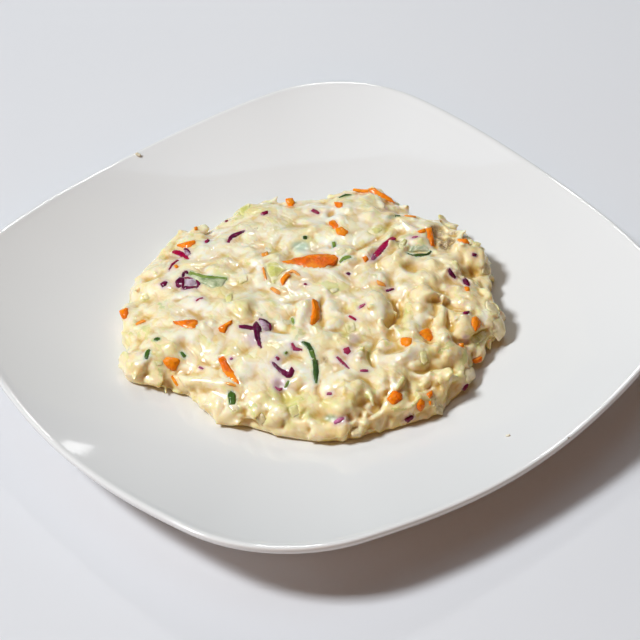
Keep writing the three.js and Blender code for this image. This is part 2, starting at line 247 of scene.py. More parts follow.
def band_faces(rings, around, along_first=False):
    """Faces between rings of corners that follow one another, wound one way round or the other."""
    faces = []
    for start in range(0, (rings - 1) * around, around):
        for k in range(around):
            a, b = start + k, start + (k + 1) % around
            faces.append((a, a + around, b + around, b) if along_first else (a, b, b + around, a + around))
    return faces


def bake_modifiers(obj):
    """Turns an object's modifiers into its mesh."""
    graph = bpy.context.evaluated_depsgraph_get()
    mesh = bpy.data.meshes.new_from_object(obj.evaluated_get(graph))
    old = obj.data
    obj.modifiers.clear()
    obj.data = mesh
    bpy.data.meshes.remove(old)
    return obj


def read_rows(items, field, width, kind=np.float32):
    """One field of a mesh's vertices or edges, a row for each."""
    flat = np.empty(len(items) * width, kind)
    items.foreach_get(field, flat)
    return flat.reshape(-1, width)


def vertices_of(obj):
    return read_rows(obj.data.vertices, "co", 3).astype(float) / MM


def normals_of(obj):
    return read_rows(obj.data.vertices, "normal", 3).astype(float)


def edges_of(obj):
    return read_rows(obj.data.edges, "vertices", 2, np.int32)


def polygons_of(obj):
    return [tuple(polygon.vertices) for polygon in obj.data.polygons]


def set_vertices(obj, vertices):
    obj.data.vertices.foreach_set("co", (vertices * MM).astype(np.float32).ravel())
    obj.data.update()


def neighbour_mean(values, edges, count):
    """The mean of each vertex's neighbours."""
    total = np.zeros((count,) + values.shape[1:])
    degree = np.bincount(edges.ravel(), minlength=count).astype(float)
    for k in range(values.shape[1]):
        total[:, k] = np.bincount(edges[:, 0], values[edges[:, 1], k], count)
        total[:, k] += np.bincount(edges[:, 1], values[edges[:, 0], k], count)
    return total / np.maximum(degree, 1)[:, None]


MOST_RELAX = 0.5  # how far a vertex moves to its neighbours' mean under thick dressing


def relax(obj, rounds, least=MOST_RELAX):
    """Rounds a mesh off, as a thick sauce does: most where the dressing stands thick."""
    points, edges = vertices_of(obj), edges_of(obj)
    factor = (least + (MOST_RELAX - least) * wetness(points[:, 0], points[:, 1]))[:, None]
    for _ in range(rounds):
        points += factor * (neighbour_mean(points, edges, len(points)) - points)
    set_vertices(obj, points)


def store(obj, name, values):
    """Keeps one number for each vertex, for the material to read."""
    attribute = obj.data.attributes.new(name, "FLOAT", "POINT")
    attribute.data.foreach_set("value", np.asarray(values, np.float32))


# ---- plate ----

DISH_SHARES = np.linspace(0.02, 0.975, 64)
UNDER_SHARES = np.linspace(0.965, FOOT_REACH + 0.05, 22)
RECESS_SHARES = np.linspace(0.55, 0.05, 8)
RIM_CURVES = [  # start, control and end, each a step out from the outline and up from the rim's top; stops
    ((-3.0, -1.0), (-0.1, 0.0), (0.0, -1.5), 12),
    ((0.0, -1.5), (0.05, -2.2), (-0.15, -2.8), 5),
    ((-0.15, -2.8), (-0.4, -4.1), (-2.4, -4.6), 9),
]
FOOT_TOP = (0.8, -0.6)  # share of the foot's width further out, and height from the underside
FOOT_STOPS = [  # share of the foot's width further out, and height from the table
    (0.58, 3.4), (0.5, 1.0), (0.42, 0.25), (0.25, 0.0),
    (-0.25, 0.0), (-0.45, 0.3), (-0.6, 1.4), (-0.9, FOOT_RECESS),
]


def plate_profile():
    """Stops from the middle of the dish over the rim to the middle of the underside: a share of the way out,
    a distance further out, what the height is measured from, and the height."""
    stops = [(share, 0.0, "dish", 0.0) for share in DISH_SHARES]
    for start, control, end, count in RIM_CURVES:
        for t in np.linspace(0, 1, count)[1:]:
            points = zip(start, control, end)
            out, up = ((1 - t) ** 2 * a + 2 * t * (1 - t) * b + t * t * c for a, b, c in points)
            stops.append((1.0, out, "rim", up))
    stops += [(share, 0.0, "under", 0.0) for share in UNDER_SHARES]
    stops.append((FOOT_REACH, FOOT_WIDTH * FOOT_TOP[0], "under", FOOT_TOP[1]))
    stops += [(FOOT_REACH, FOOT_WIDTH * share, "table", height) for share, height in FOOT_STOPS]
    stops += [(share, 0.0, "table", FOOT_RECESS) for share in RECESS_SHARES]
    return stops


def build_plate():
    """The plate as rings that follow its outline."""
    angle = np.arange(PLATE_SECTORS) / PLATE_SECTORS * FULL_TURN
    reach = plate_reach(angle)
    rings = []
    for share, further, kind, height in plate_profile():
        heights = {
            "dish": dish_height(share, angle) + height,
            "rim": rim_top(angle) + height,
            "under": dish_height(share, angle) - WALL + height,
            "table": np.full(PLATE_SECTORS, height),
        }[kind]
        out = reach * share + further
        rings.append(np.stack([out * np.cos(angle), out * np.sin(angle), heights], 1))
    points = np.concatenate([[[0, 0, DISH_FLOOR]], *rings, [[0, 0, FOOT_RECESS]]])
    return mesh_object("plate_glazed", points, ring_faces(len(rings), PLATE_SECTORS))


# ---- cut pieces ----

SECTION = 8  # corners of a cut piece's section: four, each cut off
CORNERS = ((1, 1), (-1, 1), (-1, -1), (1, -1))
TAPER_POWER = 4
END_THICKNESS, THICKNESS_GAIN = 0.35, 0.65  # of a piece that tapers to nothing, and what its size adds
PIECE_BEVEL = 0.45  # share of the smaller half size
RIPPLE_ALONG, RIPPLE_ACROSS = 9, 4  # radians of a piece's waves over its length and width


def bend_over(x, up, angle, length):
    """Bends a strip along X upwards by an angle over its length, and sets it back on its middle."""
    radius = length / angle
    turn = x / radius
    bent = radius - (radius - up) * np.cos(turn)
    return (radius - up) * np.sin(turn), bent - radius * (1 - math.cos(angle / 4))


def cut_piece(length, width, thickness, bend, curve, twist, taper, steps, wave, rough, rng):
    """A cut strip along X with a rounded section: bend lifts its ends and curve turns it sideways, both in
    radians over the whole length. Returns its vertices and faces."""
    t = np.linspace(-1, 1, steps + 1)
    tip = np.where(t < 0, *taper)
    size = tip + (1 - tip) * np.sqrt(np.maximum(0, 1 - np.abs(t) ** TAPER_POWER))
    half_w, half_t = width / 2 * size, thickness / 2 * (END_THICKNESS + THICKNESS_GAIN * size)
    bevel = np.minimum(half_w, half_t) * PIECE_BEVEL
    section = []
    for side_y, side_z in CORNERS:
        pair = [(side_y * half_w, side_z * (half_t - bevel)), (side_y * (half_w - bevel), side_z * half_t)]
        section += pair if side_y * side_z > 0 else pair[::-1]
    y, z = (np.stack([corner[axis] for corner in section], 1) for axis in (0, 1))
    y = y + rng.normal(0, rough * width, (steps + 1, 1)) + rng.normal(0, rough * width * 0.5, y.shape)
    z = z + rng.normal(0, rough * thickness, z.shape)
    x = np.repeat((t * length / 2)[:, None], SECTION, 1)
    turn = twist * t[:, None] / 2
    y, z = y * np.cos(turn) - z * np.sin(turn), y * np.sin(turn) + z * np.cos(turn)
    if wave:
        phase = rng.uniform(0, FULL_TURN)
        z = z + wave * np.sin(x / length * RIPPLE_ALONG + phase) * np.cos(y / width * RIPPLE_ACROSS + phase)
    if bend:
        x, z = bend_over(x, z, bend, length)
    if curve:
        x, y = bend_over(x, y, curve, length)
    ends = tuple(range(SECTION - 1, -1, -1)), tuple(range(steps * SECTION, (steps + 1) * SECTION))
    faces = [*band_faces(steps + 1, SECTION), *ends]
    return np.stack([x, y, z], 2).reshape(-1, 3), faces


def stand(points, place, along, normal):
    """Moves a piece's vertices to a place, with X along one direction and Z near another."""
    normal = np.asarray(normal, float) / np.linalg.norm(normal)
    along = np.asarray(along, float)
    along = along - normal * (along @ normal)
    along = along / np.linalg.norm(along)
    side = np.cross(normal, along)
    return points @ np.stack([along, side, normal]) + place


class Pile:
    """Collects many pieces into one mesh."""

    def __init__(self):
        self.points, self.faces, self.count, self.marks = [], [], 0, {}

    def add(self, points, faces, **marks):
        self.points.append(points)
        self.faces += [tuple(self.count + k for k in face) for face in faces]
        for name, value in marks.items():
            self.marks.setdefault(name, []).append(np.broadcast_to(np.asarray(value, float), len(points)))
        self.count += len(points)

    def merge(self, other):
        self.points += other.points
        self.faces += [tuple(self.count + k for k in face) for face in other.faces]
        self.count += other.count

    def build(self, name):
        obj = mesh_object(name, np.concatenate(self.points), self.faces)
        for mark, values in self.marks.items():
            store(obj, mark, np.concatenate(values))
        return obj


# ---- core and cabbage ----

CORE_SECTORS, SHELL_SECTORS = 240, 320
CORE_REACH, SHELL_REACH = 0.985, 0.965  # shares of the heap's reach
CORE_DROP = 2.2  # how far the core's top lies under the heap's
CORE_SHARES = [*np.linspace(0.02, 0.9, 56), *np.linspace(0.91, 0.99, 8)]
SHELL_SHARES = [*np.linspace(0.01, 0.93, 120), *np.linspace(0.937, 0.999, 12)]
SEAT_SHARES = np.linspace(1, 0.05, 24)
ROUND_FROM, ROUND_OVER, ROUND_POWER = 0.9, 0.1, 2.2  # shares over which the dressing rounds off at its edge
SLOPE_STEP = 1.2  # mm either side of a place, to find the slope there
CABBAGE_KINDS = [  # share of the pieces, length, width, thickness, bend, curve
    (0.30, (7, 15), (3.6, 7.2), (1.0, 1.8), (0.2, 0.9), (0, 0.5)),  # leaf
    (0.30, (8, 20), (1.8, 3.2), (1.2, 2.0), (0.1, 0.8), (0, 1.2)),  # shred
    (0.28, (5, 10), (3.6, 6.4), (2.6, 4.4), (0, 0.4), (0, 0.4)),  # rib
    (0.12, (2.6, 5), (2.0, 3.6), (1.6, 2.6), (0, 0.3), (0, 0.3)),  # crumb
]
CABBAGE_COUNT, WALL_COUNT = 760, 260
CABBAGE_STEPS = 8
CABBAGE_ROUGH = 0.04  # share of a piece's size
STRAY, STRAY_ANGLE = 0.02, 0.05  # how far a piece strays from its even place: share of reach, radians
EDGE_FROM, EDGE_LENGTH, EDGE_INSET = 0.86, 9, 0.35  # past this share, pieces lie along the edge
DRY_TILT, LESS_WHEN_WET = 0.32, 0.22  # how far pieces lean out of the heap's slope
DEEPEST, DRY_RISE, WET_SINK, THICK_SINK = -2.0, 0.3, 0.7, 0.3  # mm out of the top, share of thickness
CHIP_THICKNESS, CHIP_SHARE, CHIPS_SHOWN = 2, 0.8, 0.03  # thinner and further in than this, some also show
HEADING_SPREAD, SLOPE_SPREAD = 0.5, 0.08  # of a piece's direction
TWIST, WAVE, TAPER = 0.3, 0.3, (0.5, 0.98)
WALL_TWIST, WALL_WAVE, WALL_TAPER = 0.2, 0.2, (0.7, 0.8)
WALL_CLIMB = 0.1, 0.85  # share of the way from the foot of the wall to its crest
WALL_INSET, WALL_SLOPE, WALL_STRAY = 1.0, 3.5, 1.2  # mm in from the edge: all, more at the crest, random
WALL_FACE, WALL_RISE = 1.15, 0.25  # how far pieces face outward at the foot, and up
WALL_TILT, WALL_SPREAD = 0.2, 0.35  # of a piece's face and direction
WALL_DEPTH = 0.09  # share of the heap's radius from the foot of the wall to its crest
WALL_LENGTH = 11


def heap_shell(sectors, reach, shares, top_at, middle_top):
    """A closed shell from the heap's middle over its top to its edge, and back on a seat over the dish."""
    angle = np.arange(sectors) / sectors * FULL_TURN
    edge = heap_reach(angle) * reach
    seat_at = lambda x, y, share: dish_at(x, y) + SEAT_GAP
    stops = [(share, top_at) for share in shares] + [(share, seat_at) for share in SEAT_SHARES]
    rings = []
    for share, height_at in stops:
        x, y = HEAP_X + edge * share * np.cos(angle), HEAP_Y + edge * share * np.sin(angle)
        rings.append(np.stack([x, y, height_at(x, y, share)], 1))
    middle_seat = float(seat_at(HEAP_X, HEAP_Y, 0))
    points = np.concatenate([[[HEAP_X, HEAP_Y, middle_top]], *rings, [[HEAP_X, HEAP_Y, middle_seat]]])
    return points, ring_faces(len(rings), sectors)


def build_core(lumps):
    """The heap's inner mound, whose top lies under the pieces."""
    def top_at(x, y, _share):
        return np.maximum(heap_top(lumps, x, y, CORE_DROP, CORE_REACH), dish_at(x, y) + 2 * SEAT_GAP)

    return heap_shell(CORE_SECTORS, CORE_REACH, CORE_SHARES, top_at, float(top_at(HEAP_X, HEAP_Y, 0)))


def surface_normal(lumps, x, y):
    """The direction straight out of the heap's top at a place."""
    slope_x = heap_top(lumps, x + SLOPE_STEP, y) - heap_top(lumps, x - SLOPE_STEP, y)
    slope_y = heap_top(lumps, x, y + SLOPE_STEP) - heap_top(lumps, x, y - SLOPE_STEP)
    normal = np.array([-float(slope_x / (2 * SLOPE_STEP)), -float(slope_y / (2 * SLOPE_STEP)), 1.0])
    return normal / np.linalg.norm(normal)


def lift_clear(points):
    """Lifts a piece until no vertex is nearer to the dish than the gap."""
    low = (dish_at(points[:, 0], points[:, 1]) + SEAT_GAP - points[:, 2]).max()
    return points + np.array([0, 0, max(0.0, low)])


def draw_cabbage(rng):
    """One random piece: length, width, thickness, bend and curve."""
    roll = rng.uniform()
    for share, *ranges in CABBAGE_KINDS:
        if roll < share:
            break
        roll -= share
    length, width, thickness, bend, curve = (rng.uniform(*span) for span in ranges)
    sign = rng.choice((-1, 1), 2)
    return length, width, thickness, bend * sign[0], curve * sign[1]


def scatter_cabbage(lumps, rng):
    """Chopped cabbage all over the mound. Every piece swells the dressed body, and some also show."""
    body, shown = Pile(), Pile()
    for n in range(CABBAGE_COUNT):
        share = min(CORE_REACH, math.sqrt((n + 0.5) / CABBAGE_COUNT) + rng.normal(0, STRAY))
        angle = n * GOLDEN_ANGLE + rng.normal(0, STRAY_ANGLE)
        length, width, thickness, bend, curve = draw_cabbage(rng)
        heading = rng.uniform(0, FULL_TURN)
        if share > EDGE_FROM:
            heading = angle + FULL_TURN / 4 + rng.normal(0, HEADING_SPREAD)
            length, share = min(length, EDGE_LENGTH), share - EDGE_INSET * width / HEAP_RADIUS
        reach = float(heap_reach(angle)) * share
        x, y = HEAP_X + reach * math.cos(angle), HEAP_Y + reach * math.sin(angle)
        normal = surface_normal(lumps, x, y)
        wet = float(wetness(x, y))
        tilt = rng.normal(0, DRY_TILT - LESS_WHEN_WET * wet, 3)
        along = np.array([math.cos(heading), math.sin(heading), rng.normal(0, SLOPE_SPREAD)])
        depth = rng.uniform(DEEPEST, DRY_RISE - WET_SINK * wet) - THICK_SINK * thickness
        place = np.array([x, y, float(heap_top(lumps, x, y))]) + normal * depth
        twist, wave = rng.normal(0, TWIST), rng.uniform(0, WAVE)
        taper = rng.uniform(*TAPER, 2)
        points, faces = cut_piece(
            length, width, thickness, bend, curve, twist, taper, CABBAGE_STEPS, wave, CABBAGE_ROUGH, rng)
        points = lift_clear(stand(points, place, along, normal + tilt))
        tint = rng.uniform()
        body.add(points, faces, tint=tint)
        if thickness < CHIP_THICKNESS and share < CHIP_SHARE and rng.uniform() < CHIPS_SHOWN:
            shown.add(points, faces, tint=tint)
    return body, shown


def scatter_wall(body, lumps, rng):
    """Adds the cabbage that shows in the heap's steep edge, from its foot on the dish up to its crest."""
    for n in range(WALL_COUNT):
        angle = n * GOLDEN_ANGLE
        length, width, thickness, bend, curve = draw_cabbage(rng)
        out = np.array([math.cos(angle), math.sin(angle), 0])
        edge = np.array([HEAP_X, HEAP_Y, 0]) + out * float(heap_reach(angle))
        inner = edge - out * WALL_DEPTH * HEAP_RADIUS
        foot = float(dish_at(*edge[:2]))
        crest = float(heap_top(lumps, *inner[:2]))
        climb = rng.uniform(*WALL_CLIMB)
        inset = 0.5 * thickness + WALL_INSET + WALL_SLOPE * climb**3 + rng.uniform(0, WALL_STRAY)
        place = edge - out * inset
        place[2] = foot + (crest - foot) * climb
        facing = out * (WALL_FACE - climb) + np.array([0, 0, WALL_RISE + climb])
        normal = facing + rng.normal(0, WALL_TILT, 3)
        along = np.cross(out, (0, 0, 1)) + rng.normal(0, WALL_SPREAD, 3)
        length = min(length, WALL_LENGTH)
        points, faces = cut_piece(
            length, width, thickness, bend, curve, WALL_TWIST, WALL_TAPER, CABBAGE_STEPS, WALL_WAVE,
            CABBAGE_ROUGH, rng)
        body.add(lift_clear(stand(points, place, along, normal)), faces, tint=rng.uniform())


# ---- dressing as a height field ----

GRID_STEP = 0.6
GRID_HALF = 96
LOOK_FROM = 60  # height that rays are cast down from
FIELD_SHARE, TOPS_SHARE, LEVEL_SHARE = 1.04, 0.99, 1.02  # shares of the heap's reach that the fields cover
DRESSING_BLUR = 2.2  # mm over which the pieces' tops are evened out
DRY_LEVEL, WET_LEVEL = 0.05, 0.20  # mm of dressing under the evened tops, and what wet ground adds
POOL_SIZE, POOL_DEPTH = 7, 0.28  # mm
EDGE_DROP, LESS_DROP_WET = 1.2, 0.7  # mm lower at the edge, and how much of that is spared where it is wet
DROP_FROM, DROP_OVER = 0.80, 0.14  # shares of the heap's reach
VOXEL, ROUGH_VOXEL = 0.52, 1.0  # mm
RELAX_ROUNDS, ROUGH_ROUNDS, SETTLE_ROUNDS = 26, 4, 8
LEAST_RELAX = 0.42  # as MOST_RELAX, where the dressing has run off
BODY_TRIANGLES = 188000


def blur(field, sigma):
    """Gaussian blur of a square grid, sigma in cells."""
    half = int(3 * sigma) + 1
    kernel = np.exp(-0.5 * (np.arange(-half, half + 1) / sigma) ** 2)
    kernel /= kernel.sum()
    padded = np.pad(field, half, mode="edge")
    rows = np.apply_along_axis(lambda line: np.convolve(line, kernel, "valid"), 1, padded)
    return np.apply_along_axis(lambda line: np.convolve(line, kernel, "valid"), 0, rows)


def sample(field, x, y):
    """Bilinear look-up in a grid of the heap."""
    column = np.clip((np.asarray(x) + GRID_HALF) / GRID_STEP, 0, field.shape[0] - 1.001)
    row = np.clip((np.asarray(y) + GRID_HALF) / GRID_STEP, 0, field.shape[1] - 1.001)
    i, j = column.astype(int), row.astype(int)
    s, t = column - i, row - j
    return ((field[i, j] * (1 - s) + field[i + 1, j] * s) * (1 - t)
            + (field[i, j + 1] * (1 - s) + field[i + 1, j + 1] * s) * t)


def heap_grid():
    """X and Y of each grid point."""
    side = np.arange(-GRID_HALF, GRID_HALF + GRID_STEP / 2, GRID_STEP)
    return np.meshgrid(side, side, indexing="ij")


def top_field(points, faces):
    """Height of the topmost face over each grid point, and the dish where there is none."""
    tree = BVHTree.FromPolygons(points.tolist(), faces)
    x, y = heap_grid()
    field = dish_at(x, y)
    down = Vector((0, 0, -1))
    for i, j in zip(*np.nonzero(heap_share(x, y) < FIELD_SHARE)):
        hit = tree.ray_cast(Vector((x[i, j], y[i, j], LOOK_FROM)), down)[0]
        if hit is not None:
            field[i, j] = hit.z
    return field


def dressing_field(tops, rng):
    """Level of the dressing: the pieces' tops evened out, then higher in pools and lower where it has run."""
    x, y = heap_grid()
    share = heap_share(x, y)
    inside = (share < TOPS_SHARE).astype(float)
    weight = blur(inside, DRESSING_BLUR / GRID_STEP)
    level = blur(tops * inside, DRESSING_BLUR / GRID_STEP) / np.maximum(weight, 1e-6)
    pools = blur(rng.normal(0, 1, x.shape), POOL_SIZE / GRID_STEP)
    pools = pools / pools.std()
    wet = wetness(x, y)
    run_off = (EDGE_DROP - LESS_DROP_WET * wet) * np.clip((share - DROP_FROM) / DROP_OVER, 0, 1)
    level = level - DRY_LEVEL + WET_LEVEL * wet + POOL_DEPTH * pools - run_off
    return np.where(share < LEVEL_SHARE, level, dish_at(x, y))


def dressing_shell(level):
    """The dressing over the core, rounded off at its edge."""
    def top_at(x, y, share):
        dish = dish_at(x, y)
        round_off = math.sqrt(max(0, 1 - (max(0, share - ROUND_FROM) / ROUND_OVER) ** ROUND_POWER))
        return dish + np.maximum((sample(level, x, y) - dish) * round_off, 2 * SEAT_GAP)

    return heap_shell(SHELL_SECTORS, SHELL_REACH, SHELL_SHARES, top_at, float(sample(level, HEAP_X, HEAP_Y)))


def dressed_pile(lumps, cabbage, rng):
    """Core, cabbage and dressing, and the level of the dressing."""
    pile = Pile()
    pile.add(*build_core(lumps))
    pile.merge(cabbage)
    level = dressing_field(top_field(np.concatenate(pile.points), pile.faces), rng)
    pile.add(*dressing_shell(level))
    return pile, level


def skin(pile, voxel, rounds):
    """One closed rounded skin over everything in a pile."""
    obj = mesh_object("slaw_dressed", np.concatenate(pile.points), pile.faces)
    remesh = obj.modifiers.new("skin", "REMESH")
    remesh.mode = "VOXEL"
    remesh.voxel_size = voxel * MM
    bake_modifiers(obj)
    relax(obj, rounds, LEAST_RELAX)
    return obj


def thin_out(obj, triangles):
    """Brings a mesh of quads down to a count of triangles."""
    thin = obj.modifiers.new("thin", "DECIMATE")
    thin.ratio = min(1.0, triangles / (2 * len(obj.data.polygons)))
    bake_modifiers(obj)
    obj.data.polygons.foreach_set("use_smooth", [True] * len(obj.data.polygons))


def drop_scraps(obj):
    """Deletes all but the largest shell: the skin seals small pockets, which thinning leaves as scraps."""
    mesh = bmesh.new()
    mesh.from_mesh(obj.data)
    shells, left = [], set(mesh.verts)
    while left:
        todo = [left.pop()]
        shell = []
        while todo:
            vertex = todo.pop()
            shell.append(vertex)
            around = {edge.other_vert(vertex) for edge in vertex.link_edges} & left
            left -= around
            todo += around
        shells.append(shell)
    shells.sort(key=len)
    for shell in shells[:-1]:
        bmesh.ops.delete(mesh, geom=shell, context="VERTS")
    mesh.to_mesh(obj.data)
    mesh.free()


# ---- relief of the dressed heap ----

RUFFLE_TURNS = (12, 55, 95, 140)  # degrees
DRY_RUFFLE, WET_RUFFLE = 0.26, 0.20  # mm
DRY_SWELL, LESS_SWELL_WET = 0.40, 0.10  # mm
# Sizes in mm, along and across.
PATCH_SIZE, FOLD_SIZE, SWELL_SIZE, WALL_FOLD_SIZE = (5.0, 5.0), (3.6, 1.5), (3.2, 3.2), (2.0, 3.0)
WALL_FOLDS = 0.85  # mm
CREST, FOLD_CREST, FOLD_GAIN = 1.2, 1, 1.4  # folds have flat tops
FOLD_LEVEL, SWELL_LEVEL, WALL_LEVEL = 0.6, 0.7, 0.5  # what of a fold lies under the skin
UPWARD_GAIN, STEEP_GAIN = 1.5, 1.4
WALL_FOOT = 3  # mm over the dish within which the wall's folds fade out
NORMAL_ROUNDS, LEAST_NORMAL = 12, 0.2
SEEN_GAIN = 3
BULGE_POWER, CREASE_POWER = 1.5, 4
WARP, WARP_SIZE = 3.0, (3.0, 3.0)  # px, mm


def streaks(rng, length, width):
    """A field of random streaks along X, with a spread of 1; length and width are in mm."""
    field = rng.normal(0, 1, heap_grid()[0].shape)
    for axis, size in enumerate((length, width)):
        half = 3 * int(size / GRID_STEP + 1)
        kernel = np.exp(-0.5 * (np.arange(-half, half + 1) * GRID_STEP / size) ** 2)
        field = np.apply_along_axis(lambda line: np.convolve(line, kernel, "same"), axis, field)
    return field / field.std()


def ruffle(obj, rng):
    """Low rounded folds of shreds that lie under the dressing, each set in a direction of its own, with round
    swells between them and rougher folds down the heap's wall."""
    points, normals = vertices_of(obj), normals_of(obj)
    x, y = points[:, 0], points[:, 1]
    wet = wetness(x, y)
    height = np.zeros(len(points))
    for turn in np.radians(RUFFLE_TURNS):
        along, across = x * math.cos(turn) + y * math.sin(turn), y * math.cos(turn) - x * math.sin(turn)
        patch = streaks(rng, *PATCH_SIZE)
        fold = np.minimum(FOLD_CREST, FOLD_GAIN * np.abs(sample(streaks(rng, *FOLD_SIZE), along, across)))
        height += np.clip(sample(patch, x, y), 0, 1) * (fold - FOLD_LEVEL)
    swells = np.minimum(CREST, np.abs(sample(streaks(rng, *SWELL_SIZE), x, y))) - SWELL_LEVEL
    upward = np.clip(normals[:, 2] * UPWARD_GAIN, 0, 1)
    folded = (DRY_RUFFLE + (WET_RUFFLE - DRY_RUFFLE) * wet) * height
    height = upward * (folded + (DRY_SWELL - LESS_SWELL_WET * wet) * swells)
    arc = np.degrees(np.arctan2(y - HEAP_Y, x - HEAP_X)) / 2
    steep = np.clip(1 - STEEP_GAIN * np.abs(normals[:, 2]), 0, 1)
    wall = steep * np.clip((points[:, 2] - dish_at(x, y)) / WALL_FOOT, 0, 1)
    rough = np.abs(sample(streaks(rng, *WALL_FOLD_SIZE), arc, 2 * points[:, 2]))
    folds = np.minimum(CREST, rough) - WALL_LEVEL
    set_vertices(obj, points + normals * (height + WALL_FOLDS * wall * folds)[:, None])


def shape_by_view(obj, rng):
    """Raises the bulges and sinks the creases that the camera sees."""
    points, normals, edges = vertices_of(obj), normals_of(obj), edges_of(obj)
    seen = np.clip((normals @ camera_axes()[3]) * SEEN_GAIN, 0, 1)
    for _ in range(NORMAL_ROUNDS):
        normals = neighbour_mean(normals, edges, len(points))
    normals /= np.maximum(np.linalg.norm(normals, axis=1), LEAST_NORMAL)[:, None]
    pixels = to_pixels(points)
    for axis in (0, 1):
        pixels[:, axis] += WARP * sample(streaks(rng, *WARP_SIZE), points[:, 0], points[:, 1])
    height, depth = np.zeros(len(points)), np.zeros(len(points))
    # Rows of pixels run down the picture, so a turn up from level counts backwards.
    for *ellipse, turn, rise in BULGES:
        along, across = in_ellipse(*pixels.T, *ellipse, -turn)
        height = np.maximum(height, rise * np.exp(-((along**2 + across**2) ** BULGE_POWER)))
    for *ellipse, turn, sink in CREASES:
        along, across = in_ellipse(*pixels.T, *ellipse, -turn)
        depth = np.maximum(depth, sink * np.exp(-(along**CREASE_POWER) - across**2))
    set_vertices(obj, points + normals * ((height - depth) * seen)[:, None])


# ---- placing by the camera ----

def camera_axes():
    """The camera's place, and its directions to the right, up and back."""
    back = np.array([0, 0, math.sin(ELEVATION)]) - AWAY * math.cos(ELEVATION)
    upright = np.cross(back, RIGHTWARD)
    right = RIGHTWARD * math.cos(ROLL) - upright * math.sin(ROLL)
    up = RIGHTWARD * math.sin(ROLL) + upright * math.cos(ROLL)
    return RIGHTWARD * AIM_RIGHT + AWAY * AIM_FORWARD + back * CAMERA_DISTANCE, right, up, back


def sight_line(px, py):
    """The camera's place and the direction through one pixel of the frame."""
    place, right, up, back = camera_axes()
    direction = right * (px - FRAME_PX / 2) / FOCAL_PX + up * (FRAME_PX / 2 - py) / FOCAL_PX - back
    return place, direction / np.linalg.norm(direction)


def to_pixels(points):
    """Where the camera sees each point."""
    place, right, up, back = camera_axes()
    rays = points - place
    depth = -(rays @ back)
    columns = FRAME_PX / 2 + FOCAL_PX * (rays @ right) / depth
    rows = FRAME_PX / 2 - FOCAL_PX * (rays @ up) / depth
    return np.stack([columns, rows], 1)


BED = 0.5  # mm that the skin lies under the top of a piece set into it
LIP, HUG = 0.2, 1.3  # mm under the top that the dressing climbs to, and from how far off
LIP_REACH, LIP_SHARE = 1.6, 0.8  # mm under the lip from which it climbs, and how much of the way
PRESS_OVER = 4  # mm of skin over a piece that are pressed down
PULLS = (0, 0.02, 0.04, 0.07, 0.1)  # shares of the way to the heap's middle
AROUND = 4  # px
LEAN = 0.3  # how far a piece turns from the skin's slope to face the camera
GRAZING, GRAZING_LEAN = 0.35, 0.9  # where the skin faces the camera less than this, a piece leans further


class Surface:
    """The dressed body, for laying pieces on it along a line of sight."""

    def __init__(self, obj):
        self.obj = obj
        self.points = vertices_of(obj)
        self.tree = BVHTree.FromPolygons(self.points.tolist(), polygons_of(obj))

    def seen(self, px, py):
        """The place seen at a pixel, drawn in towards the heap's middle where the pixel just misses it."""
        for pull in PULLS:
            place, direction = sight_line(px + (HEAP_PX[0] - px) * pull, py + (HEAP_PX[1] - py) * pull)
            hit = self.tree.ray_cast(Vector(place), Vector(direction))[0]
            if hit is not None:
                return np.array(hit)
        return None

    def plane(self, pixels):
        """A plane through the body where the pixels lie, turned a little to face the camera."""
        middle = tuple(sum(axis) / len(axis) for axis in zip(*pixels))
        around = [middle]
        for x, y in pixels:
            around += [(middle[0] + k * (x - middle[0]), middle[1] + k * (y - middle[1])) for k in (0.5, 1.0)]
        around += [(middle[0] + dx, middle[1] + dy) for dx in (-AROUND, AROUND) for dy in (-AROUND, AROUND)]
        hits = [hit for hit in (self.seen(*pixel) for pixel in around) if hit is not None]
        place = np.mean(hits, 0)
        _, _, axes = np.linalg.svd(np.array(hits) - place)
        normal = axes[2] * np.sign(axes[2][2])
        back = camera_axes()[3]
        lean = GRAZING_LEAN if normal @ back < GRAZING else LEAN
        normal = normal * (1 - lean) + (back * 0.5 + np.array([0, 0, 0.5])) * lean
        return place, normal / np.linalg.norm(normal)

    def press(self, place, axes, outside, reach, top):
        """Pushes the body's skin below a piece, and draws it up round the piece's sides. outside gives how
        far, in mm, each vertex lies outside the piece's outline, and top is the height of its upper side."""
        near = np.nonzero(((self.points - place) ** 2).sum(1) < reach**2)[0]
        local = (self.points[near] - place) @ axes.T
        gap, height = outside(local), local[:, 2]
        over = (gap < 0) & (height > top - BED) & (height < top + PRESS_OVER)
        target = np.where(over, top - BED, height)
        lip = top - LIP
        beside = (gap >= 0) & (gap < HUG) & (height < lip) & (height > lip - LIP_REACH)
        target = np.where(beside, height + (lip - height) * (1 - gap / HUG) * LIP_SHARE, target)
        self.points[near] += (target - height)[:, None] * axes[2]

    def settle(self):
        """Gives the pressed skin back to the body."""
        set_vertices(self.obj, self.points)


def onto_plane(pixels, place, normal):
    """The points of a plane that are seen at the pixels."""
    out = []
    for px, py in pixels:
        origin, direction = sight_line(px, py)
        out.append(origin + direction * (((place - origin) @ normal) / (direction @ normal)))
    return np.array(out)


def frame_on(along, normal):
    """Three axes as rows: along, sideways and the normal."""
    along = along - normal * (along @ normal)
    along = along / np.linalg.norm(along)
    return np.stack([along, np.cross(normal, along), normal])


